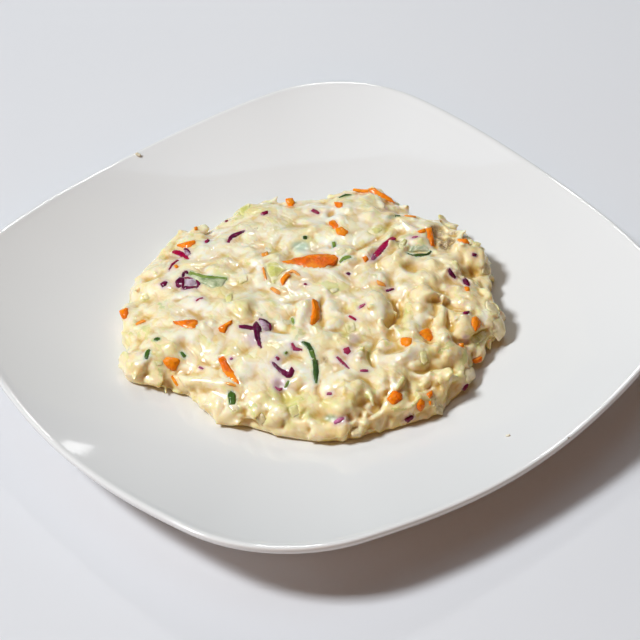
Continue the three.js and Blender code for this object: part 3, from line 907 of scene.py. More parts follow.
def resample(points, count):
    """A smooth path through points, as a given count of evenly spaced ones."""
    points = np.asarray(points, float)
    if len(points) == 2:
        return points[0] + (points[1] - points[0]) * np.linspace(0, 1, count)[:, None]
    run = np.concatenate([[0], np.cumsum(np.linalg.norm(np.diff(points, axis=0), axis=1))])
    fine = np.linspace(0, run[-1], 8 * count)
    path = np.stack([np.interp(fine, run, points[:, k]) for k in range(points.shape[1])], 1)
    for _ in range(2 * count):
        path[1:-1] = (path[:-2] + 2 * path[1:-1] + path[2:]) / 4
    pick = np.linspace(0, len(path) - 1, count).round().astype(int)
    return path[pick]


RIBBON_STEP = 1.1  # mm
RIBBON_BEVEL = 0.32  # share of the smaller half size
RIBBON_END, RIBBON_FULL = 0.45, 4  # a strip's thickness at its ends as a share, and how fast it grows
LEAST_ACROSS = 0.45  # a strip seen nearly edge on is widened by no more than this allows
PIECE_ROUGH = 0.035  # share of a piece's size
PRESS_SHARE = 0.93  # share of a piece's outline inside which the skin is pressed down
WIDTH_ROUGH = 0.06  # share of the width
RIBBON_MARGIN, SLAB_MARGIN = 3, 2  # mm of skin round a piece that may move
RIBBON_SECTION = [  # share of the half width and half thickness, bevel taken off each, edge mark
    (1, 1, 0, 1, 1.0), (1, 1, 1, 0, 0.55), (0.4, 1.12, 0, 0, 0.0), (-0.4, 1.12, 0, 0, 0.0),
    (-1, 1, 1, 0, 0.55), (-1, 1, 0, 1, 1.0), (-1, -1, 0, 1, 1.0), (1, -1, 0, 1, 1.0),
]


def ribbon(surface, path, widths, thickness, proud, rng):
    """A cut strip seen along a path of pixels, with widths in pixels at its start, middle and end."""
    place, normal = surface.plane(path)
    line = onto_plane(path, place, normal)
    length = np.linalg.norm(np.diff(line, axis=0), axis=1).sum()
    count = max(4, int(length / RIBBON_STEP) + 2)
    line = resample(line, count)
    t = np.linspace(0, 1, count)
    axes = frame_on(line[-1] - line[0], normal)
    local = (line - place) @ axes.T
    direction = np.gradient(local[:, :2], axis=0)
    direction /= np.maximum(np.linalg.norm(direction, axis=1), 1e-9)[:, None]
    side = np.stack([-direction[:, 1], direction[:, 0]], 1)
    # Width across the line of sight, not in the piece's own plane, is what the pixels give.
    right, up = camera_axes()[1:3]
    across = np.stack([(side @ axes[:2]) @ right, (side @ axes[:2]) @ up], 1)
    width = np.interp(t, (0, 0.5, 1), widths) * (CAMERA_DISTANCE / FOCAL_PX)
    width = width / np.maximum(np.linalg.norm(across, axis=1), LEAST_ACROSS)
    half_w = width / 2 * (1 + rng.normal(0, WIDTH_ROUGH, count))
    half_t = thickness / 2 * np.minimum(1, RIBBON_END + RIBBON_FULL * np.minimum(t, 1 - t))
    bevel = np.minimum(half_w, half_t) * RIBBON_BEVEL
    rows = []
    for share_w, share_t, bevel_w, bevel_t, _ in RIBBON_SECTION:
        y, z = share_w * (half_w - bevel_w * bevel), share_t * (half_t - bevel_t * bevel)
        flat = local[:, :2] + side * y[:, None]
        rows.append(np.column_stack([flat, z + proud - thickness / 2]))
    points = np.stack(rows, 1).reshape(-1, 3) + rng.normal(0, PIECE_ROUGH * thickness, (count * SECTION, 3))
    ends = tuple(range(SECTION)), tuple(range(len(points) - 1, len(points) - 1 - SECTION, -1))
    faces = [*ends, *band_faces(count, SECTION, along_first=True)]
    edges = np.tile([row[-1] for row in RIBBON_SECTION], count)
    edges[:SECTION] = edges[-SECTION:] = 1.0

    def outside(body):
        gaps = np.hypot(body[:, None, 0] - local[None, :, 0], body[:, None, 1] - local[None, :, 1])
        return gaps.min(1) - half_w[gaps.argmin(1)] * PRESS_SHARE

    surface.press(place, axes, outside, length / 2 + RIBBON_MARGIN, proud)
    return lift_clear(points @ axes + place), faces, edges


CORNER_CUT = 0.13  # share of a side that a flake's rounded corner takes
SLAB_STOPS = (CORNER_CUT, 0.5, 1 - CORNER_CUT)
SLAB_LEVELS = [  # share of the way in, rise as shares of the thickness and of the dome, edge mark
    (0.04, -1.0, 0, 1.0), (0.0, -0.25, 0, 1.0), (0.03, -0.08, 0, 0.9),
    (0.12, 0, 0, 0.6), (0.38, 0, 1.0, 0.15), (0.7, 0, 1.3, 0.0),
]
SLAB_MIDDLE = 1.4  # share of the dome
LEVEL_ROUGH = 0.03  # share of the thickness
RAGGED = ((3, 0.05), (7, 0.04))  # waves of a pressed outline: how many, and share of its reach


def slab(surface, outline, thickness, proud, rng, dome):
    """A cut flake whose outline is seen at the given pixels, on the dressed body."""
    place, normal = surface.plane(outline)
    rim = onto_plane(outline, place, normal)
    axes = frame_on(rim[np.argmax(((rim - rim.mean(0)) ** 2).sum(1))] - rim.mean(0), normal)
    local = ((rim - place) @ axes.T)[:, :2]
    sides = zip(local, np.roll(local, -1, axis=0))
    ring = np.concatenate([[a + (b - a) * stop for stop in SLAB_STOPS] for a, b in sides])
    middle = ring.mean(0)
    spokes = ring - middle
    onward = np.roll(ring, -1, axis=0) - middle
    if (spokes[:, 0] * onward[:, 1] - onward[:, 0] * spokes[:, 1]).sum() < 0:
        ring = ring[::-1]
    size = np.sqrt(((ring - middle) ** 2).sum(1).mean())
    ring = ring + rng.normal(0, PIECE_ROUGH * size, ring.shape)
    count = len(ring)
    points, edges = [], []
    for inward, rise, swell, mark in SLAB_LEVELS:
        height = proud + rise * thickness + swell * dome * thickness
        flat = ring + (middle - ring) * inward
        heights = np.full(count, height) + rng.normal(0, LEVEL_ROUGH * thickness, count)
        points.append(np.column_stack([flat, heights]))
        edges.append(np.full(count, mark))
    points = np.concatenate(points + [[[*middle, proud + SLAB_MIDDLE * dome * thickness]]])
    edges = np.concatenate(edges + [[0.0]])
    last = (len(SLAB_LEVELS) - 1) * count
    faces = [tuple(range(count - 1, -1, -1)), *band_faces(len(SLAB_LEVELS), count)]
    faces += [(last + k, last + (k + 1) % count, len(points) - 1) for k in range(count)]
    radii = np.linalg.norm(ring - middle, axis=1)
    turns = np.arctan2(ring[:, 1] - middle[1], ring[:, 0] - middle[0])
    order = np.argsort(turns)
    phases = rng.uniform(0, FULL_TURN, len(RAGGED))

    def outside(body):
        turn = np.arctan2(body[:, 1] - middle[1], body[:, 0] - middle[0])
        limit = np.interp(turn, turns[order], radii[order], period=FULL_TURN)
        lap = PRESS_SHARE
        for (waves, share), phase in zip(RAGGED, phases):
            lap = lap + share * np.sin(waves * turn + phase)
        return np.hypot(body[:, 0] - middle[0], body[:, 1] - middle[1]) - limit * lap

    surface.press(place, axes, outside, radii.max() + np.linalg.norm(middle) + SLAB_MARGIN, proud)
    return lift_clear(points @ axes + place), faces, edges


# ---- what the photo shows, in its pixels ----

# Flakes: outline, thickness in mm, and tint from 0 (strong) to 1 (pale).
CARROT_SLABS = [
    ([(280, 262), (291, 259), (310, 255), (322, 254), (336, 255), (338, 259), (334, 263), (322, 268),
      (310, 269), (302, 267), (293, 264)], 2.6, 0.0),
    ([(177, 245), (195, 240), (196, 244), (192, 247), (186, 249), (180, 247)], 1.8, 0.2),
    ([(194, 228), (197, 227), (198, 230), (195, 231)], 1.2, 0.3),
    ([(174, 266), (177, 265), (179, 267), (176, 269)], 1.2, 0.2),
    ([(285, 199), (293, 198), (295, 203), (292, 208), (288, 206)], 1.8, 0.35),
    ([(119, 311), (128, 308), (129, 313), (127, 319), (122, 319)], 2.2, 0.1),
    ([(172, 321), (198, 320), (198, 324), (195, 330), (189, 329), (179, 325)], 2.2, 0.1),
    ([(218, 328), (232, 320), (233, 323), (228, 327), (225, 334), (219, 332)], 2.0, 0.15),
    ([(162, 361), (167, 357), (179, 358), (180, 362), (175, 372), (167, 368)], 3.2, 0.1),
    ([(280, 279), (286, 273), (291, 275), (287, 280), (283, 287), (281, 284)], 1.8, 0.25),
    ([(312, 298), (317, 301), (320, 310), (319, 320), (314, 327), (310, 325), (311, 316),
      (312, 308)], 2.6, 0.3),
    ([(368, 189), (374, 188), (382, 193), (393, 200), (395, 203), (385, 201), (376, 197),
      (371, 194)], 2.2, 0.2),
    ([(334, 202), (343, 203), (343, 207), (339, 209), (335, 206)], 1.8, 0.0),
    ([(328, 223), (334, 220), (340, 227), (335, 231)], 2.0, 0.0),
    ([(335, 229), (342, 227), (349, 232), (345, 237), (337, 235)], 2.4, 0.25),
    ([(362, 257), (367, 256), (369, 260), (365, 263)], 1.8, 0.3),
    ([(425, 229), (431, 227), (433, 235), (434, 246), (431, 248), (428, 240)], 2.2, 0.15),
    ([(417, 232), (425, 229), (426, 233), (420, 234)], 1.4, 0.3),
    ([(457, 239), (467, 239), (470, 243), (465, 247), (459, 245)], 2.2, 0.4),
    ([(464, 287), (470, 288), (469, 292), (465, 291)], 1.6, 0.0),
    ([(400, 338), (412, 338), (412, 345), (407, 347), (401, 345)], 2.8, 0.0),
    ([(417, 334), (426, 328), (431, 330), (434, 340), (429, 341), (422, 337)], 2.4, 0.1),
    ([(471, 318), (476, 316), (481, 322), (480, 328), (475, 332), (471, 327)], 2.6, 0.0),
    ([(458, 344), (464, 343), (464, 348), (460, 348)], 1.6, 0.3),
    ([(472, 360), (482, 356), (482, 361), (475, 364)], 1.8, 0.0),
    ([(386, 400), (393, 390), (403, 394), (402, 400), (393, 406)], 3.2, 0.0),
    ([(416, 404), (420, 398), (425, 401), (424, 408), (420, 412), (417, 409)], 2.2, 0.0),
    ([(426, 394), (432, 390), (433, 396), (429, 399)], 1.8, 0.1),
    ([(428, 401), (431, 401), (430, 406)], 1.2, 0.2),
    ([(261, 255), (268, 252), (269, 256), (263, 258)], 1.2, 0.7),
    ([(376, 280), (384, 283), (386, 287), (378, 285)], 1.2, 0.8),
]
RED_SLABS = [
    ([(175, 281), (180, 277), (185, 278), (185, 288), (181, 289), (176, 287)], 2.0, 0.1),
    ([(185, 280), (192, 279), (197, 283), (194, 287), (186, 286)], 1.2, 1.0),
    ([(162, 284), (165, 283), (166, 285), (163, 286)], 1.0, 1.0),
    ([(184, 271), (188, 271), (189, 274), (185, 275)], 1.2, 0.1),
    ([(160, 284), (165, 281), (168, 282), (166, 286), (162, 288)], 1.4, 0.1),
    ([(260, 214), (268, 211), (268, 214), (263, 216)], 1.2, 0.4),
    ([(204, 242), (208, 239), (210, 241), (207, 244)], 1.2, 0.45),
    ([(259, 320), (264, 321), (269, 325), (269, 330), (264, 332), (260, 327)], 1.2, 0.95),
    ([(252, 326), (256, 321), (260, 325), (263, 333), (259, 334), (255, 333)], 1.8, 0.05),
    ([(283, 372), (288, 374), (292, 366), (295, 371), (292, 378), (286, 378)], 1.8, 0.05),
    ([(184, 250), (189, 252), (190, 256), (185, 255)], 1.2, 0.95),
    ([(343, 349), (349, 347), (351, 352), (348, 355), (344, 353)], 1.4, 0.55),
    ([(447, 269), (450, 268), (456, 277), (455, 279), (450, 276)], 1.4, 0.1),
    ([(462, 280), (466, 278), (470, 285), (469, 287), (464, 284)], 1.4, 0.05),
    ([(472, 253), (477, 254), (476, 257), (472, 256)], 1.2, 0.2),
    ([(463, 312), (470, 311), (467, 315), (464, 317)], 1.2, 0.3),
    ([(404, 420), (412, 415), (414, 417), (408, 422)], 1.4, 0.2),
]
GREEN_SLABS = [
    ([(190, 275), (204, 278), (216, 279), (226, 279), (222, 287), (214, 289), (204, 285),
      (196, 280)], 1.6, 0.9),
    ([(228, 394), (231, 391), (235, 393), (236, 407), (229, 406)], 1.8, 0.25),
    ([(332, 243), (335, 242), (336, 247), (333, 248)], 1.2, 0.6),
    ([(411, 246), (426, 246), (430, 251), (409, 252)], 1.4, 1.0),
]
LEAF_SLABS = [  # yellow-green leaf
    ([(266, 262), (276, 262), (287, 269), (280, 274), (277, 280), (274, 286), (270, 279),
      (267, 270)], 1.2, 0.3),
    ([(238, 209), (250, 203), (249, 209), (242, 218)], 1.2, 0.4),
    ([(238, 279), (247, 275), (248, 281), (240, 284)], 1.0, 0.7),
    ([(329, 289), (339, 288), (338, 292), (332, 293)], 1.2, 0.2),
    ([(367, 232), (375, 227), (383, 229), (376, 236)], 1.2, 0.6),
    ([(155, 361), (162, 361), (163, 365), (157, 366)], 1.2, 0.3),
    ([(141, 296), (148, 294), (149, 299), (143, 300)], 1.0, 0.7),
    ([(398, 246), (404, 238), (407, 240), (402, 252)], 1.2, 0.6),
    ([(336, 252), (344, 247), (347, 252), (340, 256)], 1.2, 0.5),
    ([(470, 338), (484, 330), (487, 337), (476, 345)], 1.4, 0.6),
    ([(420, 352), (426, 350), (428, 362), (422, 366)], 1.2, 0.6),
    ([(288, 408), (297, 404), (300, 414), (292, 418)], 1.4, 0.7),
    ([(225, 296), (232, 292), (232, 301), (226, 303)], 1.0, 0.6),
    ([(345, 325), (354, 322), (356, 330), (348, 334)], 1.2, 0.7),
    ([(483, 262), (491, 268), (487, 275), (482, 273)], 1.2, 1.0),
    ([(486, 300), (496, 306), (500, 313), (493, 315), (487, 308)], 1.2, 1.0),
    ([(493, 320), (502, 325), (506, 334), (499, 342), (491, 333)], 1.2, 0.8),
    ([(463, 369), (473, 367), (476, 378), (467, 383)], 1.4, 1.0),
    ([(436, 405), (443, 408), (443, 416), (436, 414)], 1.2, 0.9),
    ([(256, 417), (262, 413), (267, 421), (260, 425)], 1.4, 1.0),
    ([(350, 429), (358, 427), (361, 434), (352, 436)], 1.4, 1.0),
    ([(228, 404), (236, 402), (240, 409), (232, 412)], 1.2, 1.0),
]
RIB_SLABS = [  # ribs and stalks that swell under the dressing
    ([(231, 311), (235, 301), (244, 297), (252, 300), (254, 309), (250, 315), (240, 317)], 3.0, 0.35),
    ([(298, 300), (303, 298), (305, 312), (303, 328), (297, 328)], 2.0, 0.1),
    ([(305, 300), (310, 299), (310, 312), (308, 326), (304, 324)], 2.0, 0.3),
    ([(176, 373), (192, 376), (208, 381), (222, 382), (222, 391), (206, 390), (188, 384)], 2.6, 0.2),
    ([(364, 300), (372, 290), (382, 294), (388, 306), (384, 322), (374, 318)], 3.0, 0.2),
    ([(384, 372), (388, 370), (397, 386), (394, 389)], 1.8, 0.0),
    ([(410, 290), (426, 288), (436, 296), (424, 304), (412, 300)], 2.6, 0.4),
    ([(356, 254), (370, 246), (376, 250), (364, 258)], 1.6, 0.5),
    ([(384, 264), (394, 254), (405, 242), (407, 246), (397, 260), (388, 268)], 1.6, 0.35),
    ([(462, 250), (474, 246), (484, 256), (480, 270), (468, 266)], 2.6, 0.5),
    ([(432, 312), (446, 306), (456, 312), (452, 324), (438, 326)], 2.6, 0.5),
    ([(330, 402), (344, 398), (352, 408), (342, 416), (330, 412)], 2.4, 0.4),
    ([(264, 404), (276, 400), (282, 410), (274, 420), (264, 416)], 2.4, 0.3),
    ([(482, 262), (492, 270), (488, 276), (488, 286), (481, 282)], 1.6, 0.5),
    ([(490, 300), (499, 306), (500, 314), (494, 316), (488, 308)], 1.6, 0.5),
    ([(496, 316), (503, 322), (507, 334), (500, 342), (492, 330)], 1.6, 0.8),
    ([(462, 368), (474, 366), (476, 380), (466, 386), (458, 376)], 1.8, 0.3),
    ([(432, 404), (442, 408), (442, 418), (434, 414)], 1.6, 0.6),
    ([(468, 343), (484, 340), (487, 352), (480, 364), (468, 362)], 2.6, 0.4),
    ([(120, 307), (130, 301), (135, 310), (134, 322), (122, 324)], 2.4, 0.3),
    ([(184, 238), (195, 227), (206, 222), (212, 229), (198, 240)], 2.2, 0.3),
]

# Strips: path, widths at its start, middle and end, thickness in mm, and tint.
CARROT_RIBBONS = [
    ([(221, 357), (227, 370), (239, 385)], (6, 9, 3), 2.2, 0.0),
    ([(136, 325), (145, 321)], (2, 3, 3), 1.0, 0.6),
    ([(353, 190), (368, 192)], (2, 3, 4), 1.0, 0.4),
    ([(271, 288), (280, 294)], (2.5, 4, 3), 1.2, 0.75),
    ([(172, 376), (178, 386)], (2, 2.5, 2), 0.9, 0.5),
    ([(226, 383), (236, 386)], (2, 3, 2), 0.9, 0.8),
    ([(404, 216), (416, 217)], (1.5, 2, 1.5), 0.8, 0.7),
    ([(286, 274), (293, 271), (300, 276)], (2, 2.6, 2), 1.0, 0.85),
    ([(263, 268), (266, 280)], (2, 2.6, 2), 1.0, 0.7),
]
RED_RIBBONS = [
    ([(228, 243), (231, 237), (237, 234), (245, 231)], (3, 4, 2), 1.2, 0.15),
    ([(173, 251), (181, 254), (189, 260)], (3.5, 5.5, 4), 1.4, 0.5),
    ([(184, 249), (188, 250), (191, 254)], (1.6, 2, 1.4), 1.4, 0.1),
    ([(169, 271), (172, 265), (178, 260)], (1.5, 2.4, 2), 1.0, 0.4),
    ([(184, 272), (183, 278)], (3, 3, 3), 1.2, 0.1),
    ([(183, 279), (188, 278), (194, 280)], (2, 1.6, 1.2), 1.2, 0.35),
    ([(196, 279), (199, 284), (197, 289)], (2, 3.4, 3), 1.6, 0.1),
    ([(183, 288), (189, 288), (197, 287)], (4, 2.4, 1.6), 1.4, 0.15),
    ([(312, 210), (319, 214)], (3.5, 4, 2.5), 1.2, 0.4),
    ([(196, 301), (203, 298)], (1.6, 2.4, 1.6), 0.9, 0.5),
    ([(374, 257), (383, 247), (394, 237)], (6, 6, 4), 1.8, 0.5),
    ([(372, 260), (375, 256)], (3, 4, 5), 1.2, 0.8),
    ([(257, 326), (257, 336), (261, 348)], (7, 5.5, 3.5), 2.0, 0.05),
    ([(239, 327), (246, 327), (254, 329)], (3.4, 4, 4), 1.4, 0.2),
    ([(259, 319), (265, 321), (270, 325), (270, 331)], (2, 2.4, 3), 1.6, 0.05),
    ([(272, 362), (280, 370), (288, 375)], (2, 4, 6), 1.6, 0.1),
    ([(275, 387), (279, 390), (284, 388)], (1.6, 2.2, 1.4), 1.0, 0.68),
    ([(276, 357), (279, 360)], (2, 3, 2), 1.0, 0.55),
    ([(292, 343), (294, 349), (302, 350)], (2.5, 3.6, 2), 1.2, 0.55),
    ([(337, 357), (343, 363), (349, 369)], (2, 2.8, 2), 1.0, 0.4),
    ([(360, 371), (368, 371)], (2, 2.8, 2), 1.0, 0.6),
    ([(359, 308), (365, 304)], (2, 3, 2), 1.0, 0.6),
    ([(349, 316), (356, 320)], (1.8, 2.6, 2), 1.0, 0.5),
    ([(347, 273), (350, 275)], (2, 3, 2), 0.9, 0.1),
    ([(386, 291), (394, 289)], (2.2, 3, 1.6), 1.0, 0.2),
    ([(463, 390), (468, 384)], (3, 4, 2), 1.2, 0.3),
    ([(327, 394), (332, 394)], (2, 2.8, 2), 0.9, 0.6),
    ([(334, 423), (344, 418)], (2.5, 4, 2.5), 1.0, 0.75),
    ([(304, 284), (307, 285)], (1.4, 2, 1.4), 0.8, 0.4),
    ([(230, 359), (233, 359)], (1.4, 2.4, 1.4), 0.8, 0.7),
    ([(199, 367), (203, 369)], (1.4, 2.4, 1.4), 0.8, 0.7),
    ([(412, 238), (418, 237)], (1.4, 2, 1.4), 0.8, 0.7),
    ([(225, 222), (228, 221)], (1.2, 1.8, 1.2), 0.8, 0.3),
]
GREEN_RIBBONS = [
    ([(189, 273), (204, 277), (216, 278), (227, 279)], (4, 3, 3), 1.4, 0.68),
    ([(407, 253), (411, 256), (428, 255), (431, 251)], (1.8, 2.5, 1.8), 1.8, 0.05),
    ([(302, 342), (308, 345), (312, 352)], (2, 5, 5), 1.3, 0.1),
    ([(311, 350), (313, 356), (315, 362)], (5, 4, 4), 1.3, 0.42),
    ([(315, 360), (316, 371), (316, 383)], (4.5, 5.5, 2.5), 1.4, 0.1),
    ([(339, 198), (346, 195), (353, 196)], (1.4, 1.9, 1.4), 1.1, 0.1),
    ([(391, 217), (400, 216)], (1.4, 2, 1.6), 1.0, 0.2),
    ([(340, 262), (345, 258), (351, 257)], (2, 4, 2.4), 1.1, 0.62),
    ([(146, 359), (148, 352), (150, 350)], (3, 4.6, 3), 1.4, 0.1),
    ([(181, 352), (185, 357)], (2, 3.4, 3), 1.1, 0.15),
    ([(154, 340), (160, 339)], (2, 3, 2), 1.0, 0.3),
    ([(303, 238), (307, 238)], (2.6, 4, 2.6), 1.0, 0.05),
    ([(285, 388), (289, 381)], (2, 3, 2), 1.0, 0.5),
    ([(292, 318), (294, 324)], (2, 3, 2), 1.0, 0.66),
    ([(285, 354), (287, 352)], (1.6, 2.4, 1.6), 0.9, 0.6),
]

# Bulges and creases of the dressed heap: middle, length and width, turn from level in degrees, and height
# or depth in mm.
BULGES = [
    (368, 312, 48, 40, 60, 1.7), (410, 316, 38, 28, 80, 1.5), (441, 297, 38, 9, -10, 1.1),
    (443, 330, 36, 12, 85, 1.3), (463, 324, 24, 13, 80, 1.1), (464, 249, 32, 22, -20, 1.3),
    (469, 298, 22, 15, 80, 1.1), (426, 277, 28, 24, 0, 1.3), (385, 266, 26, 22, 30, 1.1),
    (385, 347, 28, 14, 80, 1.1), (402, 357, 32, 14, 10, 1.0), (420, 362, 16, 14, 80, 1.0),
    (453, 378, 18, 15, 0, 1.3), (436, 376, 22, 9, 0, 0.7), (419, 392, 18, 15, 0, 1.3),
    (340, 407, 22, 14, 0, 1.1), (357, 403, 15, 14, 80, 1.1), (374, 388, 26, 18, 30, 0.9),
    (343, 425, 26, 13, 10, 1.0), (365, 422, 16, 14, 60, 0.9), (478, 346, 22, 16, 60, 0.9),
    (456, 352, 30, 11, 0, 0.8), (404, 410, 12, 14, 40, 0.7), (245, 307, 26, 20, 20, 1.1),
    (300, 316, 34, 16, 85, 1.1), (202, 383, 46, 12, -12, 1.2), (262, 352, 40, 26, 10, 0.8),
    (262, 400, 34, 22, 15, 0.9), (218, 402, 34, 16, 10, 0.8), (280, 412, 20, 16, 0, 1.0),
    (306, 408, 20, 16, 40, 0.9), (318, 428, 24, 12, -5, 0.9), (340, 380, 26, 18, 40, 0.4),
    (330, 316, 24, 22, 30, 0.7), (200, 262, 40, 24, 30, 0.7), (320, 232, 30, 16, 30, 0.7),
    (270, 228, 34, 20, 20, 0.6), (384, 216, 40, 14, -15, 0.8), (160, 318, 34, 20, 0, 0.6),
    (480, 257, 24, 16, 60, 2.0), (486, 287, 26, 14, 70, 2.2), (496, 324, 28, 14, 70, 1.5),
    (150, 350, 30, 8, 55, 0.9), (142, 367, 20, 15, 0, 1.6), (156, 371, 16, 12, -30, 1.3),
    (377, 246, 62, 9, 37, 1.0), (265, 262, 60, 7, 32, 0.6), (256, 246, 40, 7, 30, 0.5),
    (256, 414, 14, 12, 0, 1.3), (272, 421, 14, 12, 0, 1.3), (292, 427, 16, 12, 0, 1.1),
    (315, 432, 18, 11, 0, 1.0), (338, 432, 16, 12, 0, 1.2), (358, 430, 14, 12, 0, 1.1),
    (232, 408, 16, 11, 0, 0.9), (205, 402, 18, 10, -15, 0.8),
]
CREASES = [
    (392, 320, 44, 13, 85, 3.0), (432, 321, 34, 10, 86, 2.5), (452, 321, 26, 7, 84, 1.5),
    (438, 305, 40, 8, -5, 1.9), (371, 240, 54, 3, 37, 0.7), (460, 309, 12, 8, 0, 1.4),
    (471, 270, 30, 15, -8, 1.5), (457, 281, 16, 8, -30, 1.8), (412, 268, 10, 12, 10, 0.9),
    (374, 356, 28, 5, 85, 1.8), (426, 371, 38, 9, -4, 1.6), (450, 396, 34, 12, 70, 1.6),
    (407, 403, 20, 8, 75, 2.0), (446, 242, 18, 8, -45, 1.8), (438, 232, 12, 6, -50, 1.6),
    (333, 216, 14, 6, 30, 1.6), (337, 265, 20, 6, 10, 1.6), (400, 235, 14, 6, 45, 1.2),
    (390, 283, 9, 6, -30, 0.9), (402, 301, 18, 4, 80, 0.9), (322, 312, 32, 7, 86, 2.0),
    (278, 325, 22, 11, -22, 2.5), (301, 387, 9, 9, 60, 1.2), (333, 245, 9, 6, 60, 1.6),
    (443, 283, 12, 16, 70, 0.7), (252, 310, 16, 6, -65, 0.9), (283, 393, 18, 8, 60, 1.8),
    (245, 419, 28, 6, -10, 1.8), (320, 391, 22, 6, 80, 1.4), (378, 404, 26, 8, 60, 2.0),
    (365, 401, 16, 6, 20, 1.6), (364, 413, 26, 8, 55, 1.6), (278, 243, 22, 4, 40, 1.0),
    (187, 299, 18, 4, 5, 1.0), (165, 262, 16, 4, 55, 1.0), (300, 345, 14, 4, 30, 1.0),
    (425, 418, 26, 6, 25, 1.6), (216, 369, 24, 4, -15, 1.0), (186, 391, 30, 5, -12, 0.8),
    (330, 330, 16, 5, -30, 1.0), (352, 415, 12, 6, 20, 1.6), (298, 412, 10, 6, 60, 1.6),
    (240, 409, 16, 5, 10, 1.2), (386, 381, 16, 6, 60, 1.2), (462, 340, 10, 7, 30, 1.5),
    (484, 330, 20, 6, 75, 1.4), (432, 230, 9, 4, -60, 2.2), (439, 235, 9, 4, 50, 1.8),
    (438, 243, 9, 4, -60, 2.0), (446, 239, 9, 4, 40, 1.8), (445, 246, 10, 4, -35, 2.2),
    (452, 243, 8, 4, 50, 1.8), (452, 235, 9, 4, -50, 1.8), (264, 419, 12, 4, 70, 1.3),
    (283, 425, 12, 4, 80, 1.3), (304, 431, 10, 4, 80, 1.2), (348, 432, 12, 4, 80, 1.3),
    (374, 428, 18, 7, 60, 1.8), (243, 412, 10, 4, 70, 1.2), (390, 420, 16, 7, 65, 1.6),
    (220, 406, 10, 4, 60, 1.0),
]

# Pieces that only show through the dressing: their middle, half width and half height, and strength.
CARROT_VEILS = [
    (262, 246, 6, 3.5, 0.8), (284, 292, 6, 4, 0.9), (293, 277, 8, 5, 0.7), (377, 283, 8, 3, 1.0),
    (330, 212, 5, 4, 0.4), (200, 366, 6, 5, 0.5), (236, 388, 4, 4, 0.8), (131, 358, 2.5, 5, 0.5),
    (292, 206, 3, 3, 0.9), (422, 248, 6, 3, 0.4),
]
RED_VEILS = [
    (299, 204, 5, 2.5, 0.5), (312, 213, 3, 3, 0.5), (388, 212, 9, 4, 0.35), (347, 351, 6, 8, 0.6),
    (489, 305, 3.5, 5, 0.7), (490, 323, 4, 4, 0.6), (199, 318, 6, 3, 0.25), (278, 382, 7, 6, 0.5),
    (450, 290, 4, 6, 0.4), (464, 338, 3, 6, 0.5),
]
LEAF_VEILS = [
    (243, 307, 11, 9, 0.7), (222, 291, 8, 5, 0.7), (243, 212, 8, 7, 0.7), (290, 226, 3, 6, 0.6),
    (381, 229, 12, 4, 0.7), (368, 355, 4, 10, 0.9), (274, 345, 9, 3, 0.5), (290, 399, 15, 8, 0.95),
    (268, 401, 9, 7, 0.8), (306, 413, 10, 6, 0.8), (330, 404, 12, 5, 0.6), (352, 400, 7, 6, 0.5),
    (262, 420, 10, 5, 0.6), (286, 425, 10, 5, 0.6), (420, 384, 14, 4, 0.5), (372, 231, 6, 4, 0.8),
    (345, 336, 6, 5, 0.5), (448, 397, 8, 8, 0.5), (458, 378, 6, 5, 0.7), (498, 330, 6, 8, 0.8),
    (352, 291, 8, 3, 0.4), (430, 352, 5, 6, 0.6), (244, 345, 8, 4, 0.3), (262, 372, 10, 3, 0.5),
    (402, 262, 5, 5, 0.5), (160, 362, 5, 4, 0.8), (142, 298, 5, 3, 0.6), (214, 288, 5, 3, 0.5),
    (322, 422, 7, 4, 0.5), (150, 373, 7, 4, 0.4),
]
LILAC_VEILS = [
    (279, 383, 9, 9, 1.0), (252, 339, 5, 9, 1.0), (354, 338, 6, 6, 0.9), (466, 339, 4, 5, 0.8),
    (249, 338, 7, 8, 0.8), (265, 336, 4, 7, 0.6), (277, 360, 5, 4, 0.5), (371, 258, 6, 5, 0.8),
    (343, 420, 8, 4, 0.8), (389, 289, 8, 4, 0.5), (174, 262, 7, 9, 0.4), (186, 285, 14, 7, 0.5),
    (350, 352, 8, 8, 0.5), (412, 237, 8, 3, 0.6), (163, 284, 7, 5, 0.4),
]
SKIN_VEILS = [
    (433, 229, 5, 5, 1.0), (440, 233, 6, 4, 0.7), (453, 233, 5, 2.5, 0.7), (439, 241, 5, 4, 0.9),
    (445, 246, 7, 5, 1.0), (450, 241, 5, 4, 0.9), (325, 360, 3, 4, 0.7),
]
TEAL_VEILS = [
    (301, 246, 10, 5.5, 1.0), (331, 418, 7, 4, 0.8), (420, 249, 8, 3, 0.7), (391, 217, 6, 2, 0.8),
]

CRUMBS = [  # place, length in mm, and tint
    (138, 155.5, 2.4, 0.2), (508, 436, 1.7, 0.0), (568.5, 438, 0.8, 1.0),
]


# ---- coloured pieces and crumbs ----

FLAT_DOME = 0.12
PROUD_STEP, RIBBON_PROUD = 0.08, 0.04  # mm
SHARP_FROM = math.radians(50)
PIECES = [  # name, flakes, strips, mm that they stand out, dome, mm over the dressing where its film ends
    ("carrot_pieces", CARROT_SLABS, CARROT_RIBBONS, 0.5, 0.2, 0.35),
    ("red_cabbage_pieces", RED_SLABS, RED_RIBBONS, 0.35, 0.3, 0.3),
    ("green_pieces", GREEN_SLABS, GREEN_RIBBONS, 0.4, FLAT_DOME, 0.3),
    ("leaf_pieces", LEAF_SLABS, [], 0.2, FLAT_DOME, 0.3),
]
CHIP_NEAR = 0.4
RIB_PROUD, RIB_DOME = 0.9, 0.25
CRUMB_WIDTH, CRUMB_THICKNESS, CRUMB_LIFT = 0.6, 0.4, 0.2  # shares of a crumb's length
CRUMB_SPREAD = 0.3
CRUMB_SHAPE = (0.3, 0.4, 0.2, (0.45, 0.6), 6, 0, 0.08)  # bend, curve, twist, taper, steps, wave, roughness
